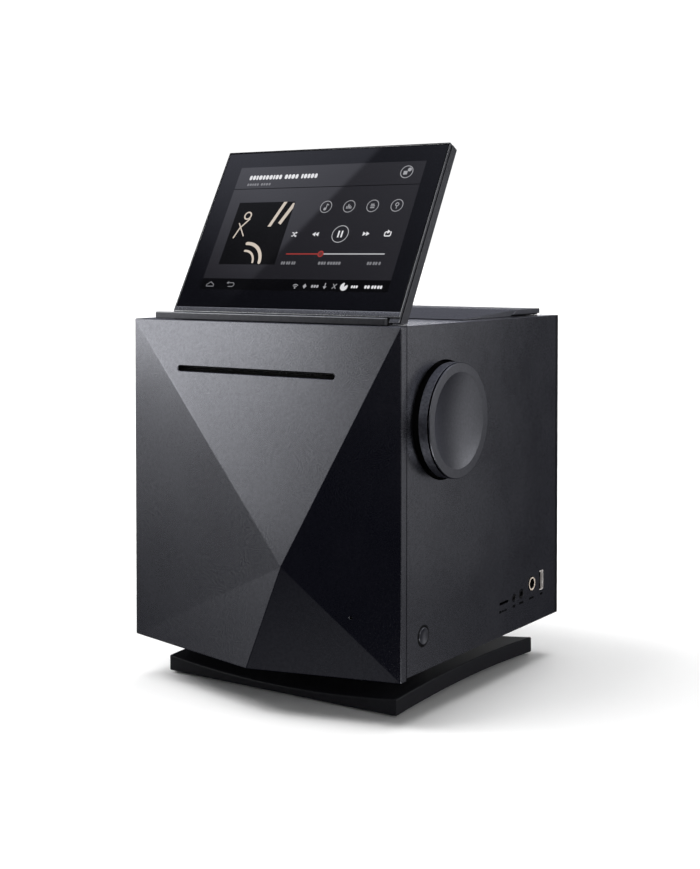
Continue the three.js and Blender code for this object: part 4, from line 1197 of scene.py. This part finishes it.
# ----------------------------------------------------------------------- base
def base_mesh():
    """rounded-edge base with a hollowed top and arched edges"""
    n = 72
    my, hy = (BASE_Y0 + BASE_Y1) / 2, (BASE_Y1 - BASE_Y0) / 2
    rad = 1.1

    def lift(s, t):
        return BASE_ARCH * (1 - t * t) * s * s

    def top(s, t):
        return BASE_TOP - BASE_DIP * (1 - s * s) + lift(s, t)

    def edge_pts():
        pts = []
        for i in range(n):
            pts.append((-1 + 2 * i / n, -1))
        for i in range(n):
            pts.append((1, -1 + 2 * i / n))
        for i in range(n):
            pts.append((1 - 2 * i / n, 1))
        for i in range(n):
            pts.append((-1, 1 - 2 * i / n))
        return pts

    verts, faces, grid_top, grid_bot = [], [], {}, {}
    sx, sy = (BASE_X - rad) / BASE_X, (hy - rad) / hy
    for side_, g in ((1, grid_top), (-1, grid_bot)):
        for j in range(n + 1):
            for i in range(n + 1):
                s, t = -1 + 2 * i / n, -1 + 2 * j / n
                z = top(s * sx, t * sy) if side_ > 0 else BASE_BOT + lift(s * sx, t * sy)
                g[i, j] = len(verts)
                verts.append(W(BASE_X * sx * s, my + hy * sy * t, z))
        for j in range(n):
            for i in range(n):
                faces.append((g[i, j], g[i + 1, j], g[i + 1, j + 1], g[i, j + 1]))
    rim = []
    for i in range(n):
        rim.append((i, 0))
    for i in range(n):
        rim.append((n, i))
    for i in range(n, 0, -1):
        rim.append((i, n))
    for i in range(n, 0, -1):
        rim.append((0, i))
    prev = [grid_top[r_] for r_ in rim]
    steps = 5
    rows_ = []
    for k in range(1, steps + 1):
        rows_.append((math.sin(math.pi / 2 * k / steps), 1 - math.cos(math.pi / 2 * k / steps), 1))
    for k in range(0, steps):
        rows_.append((math.cos(math.pi / 2 * k / steps), 1 - math.sin(math.pi / 2 * k / steps), -1))
    for out_, down, side_ in rows_:
        cur = []
        for (i, j) in rim:
            s, t = -1 + 2 * i / n, -1 + 2 * j / n
            nx_ = (i == n) - (i == 0)
            ny_ = (j == n) - (j == 0)
            x = BASE_X * sx * s + nx_ * rad * out_ * (0.78 if nx_ and ny_ else 1)
            y = my + hy * sy * t + ny_ * rad * out_ * (0.78 if nx_ and ny_ else 1)
            z = (top(s, t) - rad * down * 0.9) if side_ > 0 else (BASE_BOT + lift(s, t) + rad * down * 0.9)
            cur.append(len(verts))
            verts.append(W(x, y, z))
        m = len(rim)
        for k in range(m):
            faces.append((prev[k], prev[(k + 1) % m], cur[(k + 1) % m], cur[k]))
        prev = cur
    bot = [grid_bot[r_] for r_ in rim]
    m = len(rim)
    for k in range(m):
        faces.append((prev[k], prev[(k + 1) % m], bot[(k + 1) % m], bot[k]))
    return from_lists("base", verts, faces)


base_o = place("base_plate_milled", base_mesh(), METAL_BASE, "chassis", "base_plate", 50)
# upward faces of the base take the lighter copy: painted light on its top
paint_faces(base_o, [BASE_TOP_PAINTED_LIGHT], lambda x, y, z, n: int(n.z > 0.5))
neck = [(0, -222.6), (46, -222.6)] + [(44 + 2 * ((t - 0.5) * 2) ** 2 if t < 0.5 else 44 + 6 * ((t - 0.5) * 2) ** 2, -222.6 + (222.6 - SIDE_H - GAP) * t) for t in [i / 12 for i in range(1, 12)]] + [(50, -SIDE_H - GAP), (0, -SIDE_H - GAP)]
# the neck takes the near-black material, which also paints the shade of the gap between body and base
place("base_neck_turned", lathe_mesh("neck", neck, axis_z(0, (BASE_Y0 + BASE_Y1) / 2), 128, False), BLACK_AND_PAINTED_SHADE, "chassis", "base_neck", 40)
k = 1
for y in FOOT_Y:
    for x in (-FOOT_X, FOOT_X):
        z0, z1 = ORIGIN[2], BASE_BOT - 0.15
        prof = fillet([(0, z0), (FOOT_R, z0), (FOOT_R, z1), (0, z1)], 0.45, 4, False)
        place(f"foot_{k}_moulded", lathe_mesh("foot", prof, axis_z(x, y), 64, False), RUBBER, "chassis", f"foot_{k}", 50)
        k += 1

# ------------------------------------------------------- remaining CAD nodes
CARRIED = {
    "lcd_module": PLASTIC, "display_board": BOARD, "volume_knob_shaft": STEEL, "volume_encoder": SHEET_STEEL,
    "power_switch": PLASTIC, "socket_board": BOARD, "main_board": BOARD, "analogue_board": BOARD, "power_supply": SHEET_STEEL,
    "battery_pack": PLASTIC, "storage_drive": SHEET_STEEL, "drive_chassis": SHEET_STEEL, "drive_cover": SHEET_STEEL,
    "disc_spindle": PLASTIC, "feed_roller": RUBBER, "laser_sled": PLASTIC, "sled_rail": STEEL, "sled_lead_screw": STEEL,
}
for n, m in CARRIED.items():
    me = NODES[n].data
    me.materials.clear()
    me.materials.append(m)
shown = [n for n, o in NODES.items() if not o.hide_render and n not in CARRIED]
print("CAD nodes still plain:", shown)

# ---------------------------------------------------------------------- stage
def floor_material():
    g = Graph("studio_floor")
    g.set("Specular IOR Level", 0.1)
    n = g.noise(6, 3.0)
    g.color(g.ramp(n, [(0.3, (0.86, 0.86, 0.86)), (0.7, (0.885, 0.885, 0.885))]))
    g.rough(g.spread(n, 0.75, 0.9))
    return g.mat


verts = [Vector((math.cos(a) * r, math.sin(a) * r, 0)) for r in (0.6, 3.0, 40.0) for a in [2 * math.pi * i / 48 for i in range(48)]]
faces = [tuple(range(48))] + [(j * 48 + i, j * 48 + (i + 1) % 48, (j + 1) * 48 + (i + 1) % 48, (j + 1) * 48 + i) for j in range(2) for i in range(48)]
floor = bpy.data.objects.new("studio_floor", from_lists("floor", verts, faces))
floor.data.materials.append(floor_material())
scene.collection.objects.link(floor)
floor.visible_glossy = False

world = bpy.data.worlds.new("studio")
scene.world = world
world.use_nodes = True
wt = world.node_tree
wt.nodes.clear()
wout = wt.nodes.new("ShaderNodeOutputWorld")
lp = wt.nodes.new("ShaderNodeLightPath")
bg_cam = wt.nodes.new("ShaderNodeBackground")
bg_cam.inputs["Color"].default_value = (1, 1, 1, 1)
bg_cam.inputs["Strength"].default_value = 1.05
bg_dif = wt.nodes.new("ShaderNodeBackground")
bg_dif.inputs["Color"].default_value = (1, 1, 1, 1)
bg_dif.inputs["Strength"].default_value = 0.29
bg_glo = wt.nodes.new("ShaderNodeBackground")
bg_glo.inputs["Color"].default_value = (0.95, 0.97, 1.0, 1)
bg_glo.inputs["Strength"].default_value = 1.0
# what polished surfaces see of the room: a dim grey dome, and a tall pale screen at the upper left
wc = wt.nodes.new("ShaderNodeTexCoord")
ws = wt.nodes.new("ShaderNodeSeparateXYZ")
wt.links.new(wc.outputs["Generated"], ws.inputs[0])


def w_math(op, a, b):
    n = wt.nodes.new("ShaderNodeMath")
    n.operation = op
    for i, x in enumerate((a, b)):
        if isinstance(x, (int, float)):
            n.inputs[i].default_value = x
        else:
            wt.links.new(x, n.inputs[i])
    return n.outputs[0]


def w_range(v, a, b, lo, hi):
    n = wt.nodes.new("ShaderNodeMapRange")
    n.interpolation_type = "SMOOTHSTEP"
    for k, x in zip(("From Min", "From Max", "To Min", "To Max"), (a, b, lo, hi)):
        n.inputs[k].default_value = x
    wt.links.new(v, n.inputs["Value"])
    return n.outputs["Result"]


BAND, BAND_UP = 0.42, 0.16
edge = math.radians(55.0)
side_ = w_math("ADD", w_math("MULTIPLY", ws.outputs["X"], -math.cos(edge)), w_math("MULTIPLY", ws.outputs["Y"], math.sin(edge)))
pale = w_math("MULTIPLY", w_range(side_, -0.001, 0.003, 0, 1), w_range(side_, 0.35, 0.7, 1, 0))
pale = w_math("MULTIPLY", pale, w_range(side_, -0.02, 0.085, 0.40, 1))
pale = w_math("MULTIPLY", pale, w_range(ws.outputs["Z"], 0.636, 0.706, 0.02, 1))
pale = w_math("MULTIPLY", pale, w_range(ws.outputs["Z"], 0.80, 0.97, 1, 0.2))
dome = w_math("ADD", w_range(ws.outputs["Z"], 0.40, 0.62, 0.008, 0.045), w_range(ws.outputs["Z"], 0.66, 0.86, 0.0, 0.38))
# a low bright band of the backdrop behind the object
band = w_math("MULTIPLY", w_range(ws.outputs["Z"], 0.03, 0.13, BAND, BAND_UP), w_range(ws.outputs["Z"], -0.25, -0.05, 0, 1))
band = w_math("MULTIPLY", band, w_range(ws.outputs["Z"], 0.25, 0.5, 1, 0))
band = w_math("MULTIPLY", band, w_range(w_math("ADD", w_math("MULTIPLY", ws.outputs["X"], -math.sin(math.radians(34))), w_math("MULTIPLY", ws.outputs["Y"], math.cos(math.radians(34)))), 0.60, 0.93, 0, 1))
total = w_math("ADD", w_math("ADD", w_math("MULTIPLY", pale, 0.74), band), dome)
wcol = wt.nodes.new("ShaderNodeCombineXYZ")
wt.links.new(w_math("MULTIPLY", total, 0.95), wcol.inputs["X"])
wt.links.new(w_math("MULTIPLY", total, 0.97), wcol.inputs["Y"])
wt.links.new(w_math("ADD", w_math("MULTIPLY", total, 1.12), 0.010), wcol.inputs["Z"])
wt.links.new(wcol.outputs[0], bg_glo.inputs["Color"])
m1 = wt.nodes.new("ShaderNodeMixShader")
m2 = wt.nodes.new("ShaderNodeMixShader")
wt.links.new(lp.outputs["Is Glossy Ray"], m1.inputs["Fac"])
wt.links.new(bg_dif.outputs[0], m1.inputs[1])
wt.links.new(bg_glo.outputs[0], m1.inputs[2])
wt.links.new(lp.outputs["Is Camera Ray"], m2.inputs["Fac"])
wt.links.new(m1.outputs[0], m2.inputs[1])
wt.links.new(bg_cam.outputs[0], m2.inputs[2])
wt.links.new(m2.outputs[0], wout.inputs["Surface"])

CENTRE = Vector((0.0, -0.02, 0.17))


def softbox(name, az_left, el, dist, width, height, power, group=None):
    """rectangular soft light: azimuth left of the front, elevation, distance from the object's middle"""
    a, e = math.radians(az_left), math.radians(el)
    d = Vector((-math.sin(a) * math.cos(e), -math.cos(a) * math.cos(e), math.sin(e)))
    l = bpy.data.lights.new(name, "AREA")
    l.shape, l.size, l.size_y, l.energy = "RECTANGLE", width, height, power
    o = bpy.data.objects.new(name, l)
    o.location = CENTRE + d * dist
    o.rotation_mode = "QUATERNION"
    o.rotation_quaternion = (-d).to_track_quat("-Z", "Y")
    o.visible_camera = False
    o.visible_diffuse = False
    scene.collection.objects.link(o)
    return o


# a bank of soft panels at the left, one large soft panel at the right rear, faint fill elsewhere:
# azimuth left of the front, elevation, distance, width, height, power
PANELS = [
    (26, 6, 0.8, 0.17, 0.18, 0.045), (26, 19, 0.8, 0.17, 0.18, 0.012), (38, -7, 0.8, 0.17, 0.18, 0.02),
    (38, 6, 0.8, 0.17, 0.18, 0.102), (38, 19, 0.8, 0.17, 0.18, 0.249), (38, 32, 0.8, 0.17, 0.18, 0.014),
    (50, -20, 0.8, 0.17, 0.18, 0.03), (50, -7, 0.8, 0.17, 0.18, 0.027), (50, 6, 0.8, 0.17, 0.18, 0.327),
    (50, 19, 0.8, 0.17, 0.18, 0.238), (50, 32, 0.8, 0.17, 0.18, 0.018), (62, -20, 0.8, 0.17, 0.18, 0.009),
    (62, -7, 0.8, 0.17, 0.18, 0.038), (62, 6, 0.8, 0.17, 0.18, 0.274), (62, 19, 0.8, 0.17, 0.18, 0.051),
    (74, -7, 0.8, 0.17, 0.18, 0.023), (74, 6, 0.8, 0.17, 0.18, 0.058), (-50, 15, 0.9, 0.4, 0.32, 0.229),
    (-50, 35, 0.9, 0.4, 0.32, 0.374), (-76, -5, 0.9, 0.4, 0.32, 0.045), (-76, 35, 0.9, 0.4, 0.32, 0.427),
    (-128, -25, 0.9, 0.4, 0.32, 0.097), (-128, -5, 0.9, 0.4, 0.32, 0.145), (-128, 15, 0.9, 0.4, 0.32, 0.704),
    (-154, -25, 0.9, 0.4, 0.32, 0.013), (-154, -5, 0.9, 0.4, 0.32, 0.015), (0, -40, 0.9, 0.38, 0.32, 0.048),
    (160, -5, 1, 0.42, 0.4, 1.236), (160, 20, 1, 0.42, 0.4, 0.011), (-131, -14, 0.4, 0.1, 0.12, 0.005),
    (-131, 3, 0.4, 0.1, 0.12, 0.008), (-157, 20, 0.4, 0.1, 0.12, 0.006), (-70, -38, 0.55, 0.16, 0.16, 0.267),
    (-70, -20, 0.55, 0.16, 0.16, 0.023), (-45, -38, 0.55, 0.16, 0.16, 0.301), (-45, 16, 0.55, 0.16, 0.16, 0.25),
]
for i_, p_ in enumerate(PANELS):
    softbox(f"panel_{i_:02d}", *p_)
# soft lights that only the floor and the matt parts see: most from the upper left, some from overhead and behind,
# one faint from the right: azimuth left of the front, elevation, strength
FLOOR_LIGHTS = [
    (48, 58, 1.252), (72, 44, 1.164), (192, 82, 0.603), (216, 82, 0.549), (24, 70, 0.296), (168, 44, 0.35),
    (192, 70, 0.208), (24, 82, 0.166), (-60, 22, 0.55),
]
for i_, (az_, el_, power_) in enumerate(FLOOR_LIGHTS):
    key = bpy.data.lights.new(f"floor_light_{i_}", "SUN")
    key.energy, key.angle = power_, math.radians(28)
    key_o = bpy.data.objects.new(f"floor_light_{i_}", key)
    a_, e_ = math.radians(az_), math.radians(el_)
    kd = Vector((-math.sin(a_) * math.cos(e_), -math.cos(a_) * math.cos(e_), math.sin(e_)))
    key_o.location = kd * 3
    key_o.rotation_mode = "QUATERNION"
    key_o.rotation_quaternion = (-kd).to_track_quat("-Z", "Y")
    key_o.visible_glossy = False
    scene.collection.objects.link(key_o)

# --------------------------------------------------------------------- camera
cam_data = bpy.data.cameras.new("camera")
cam = bpy.data.objects.new("camera", cam_data)
scene.collection.objects.link(cam)
az, pitch = math.radians(34.13), math.radians(1.59)
look = Vector((-math.sin(az) * math.cos(pitch), math.cos(az) * math.cos(pitch), -math.sin(pitch)))
cam.location = Vector((0.5561, -0.8216, 0.2787))
cam.rotation_mode = "QUATERNION"
cam.rotation_quaternion = look.to_track_quat("-Z", "Y")
cam_data.sensor_width = 36.0
cam_data.lens = 61.74
cam_data.shift_y = -0.1619
cam_data.clip_start, cam_data.clip_end = 0.02, 100.0
scene.camera = cam

scene.view_settings.view_transform = "Standard"
scene.view_settings.look = "None"
scene.view_settings.exposure = 0.0
scene.view_settings.gamma = 1.0
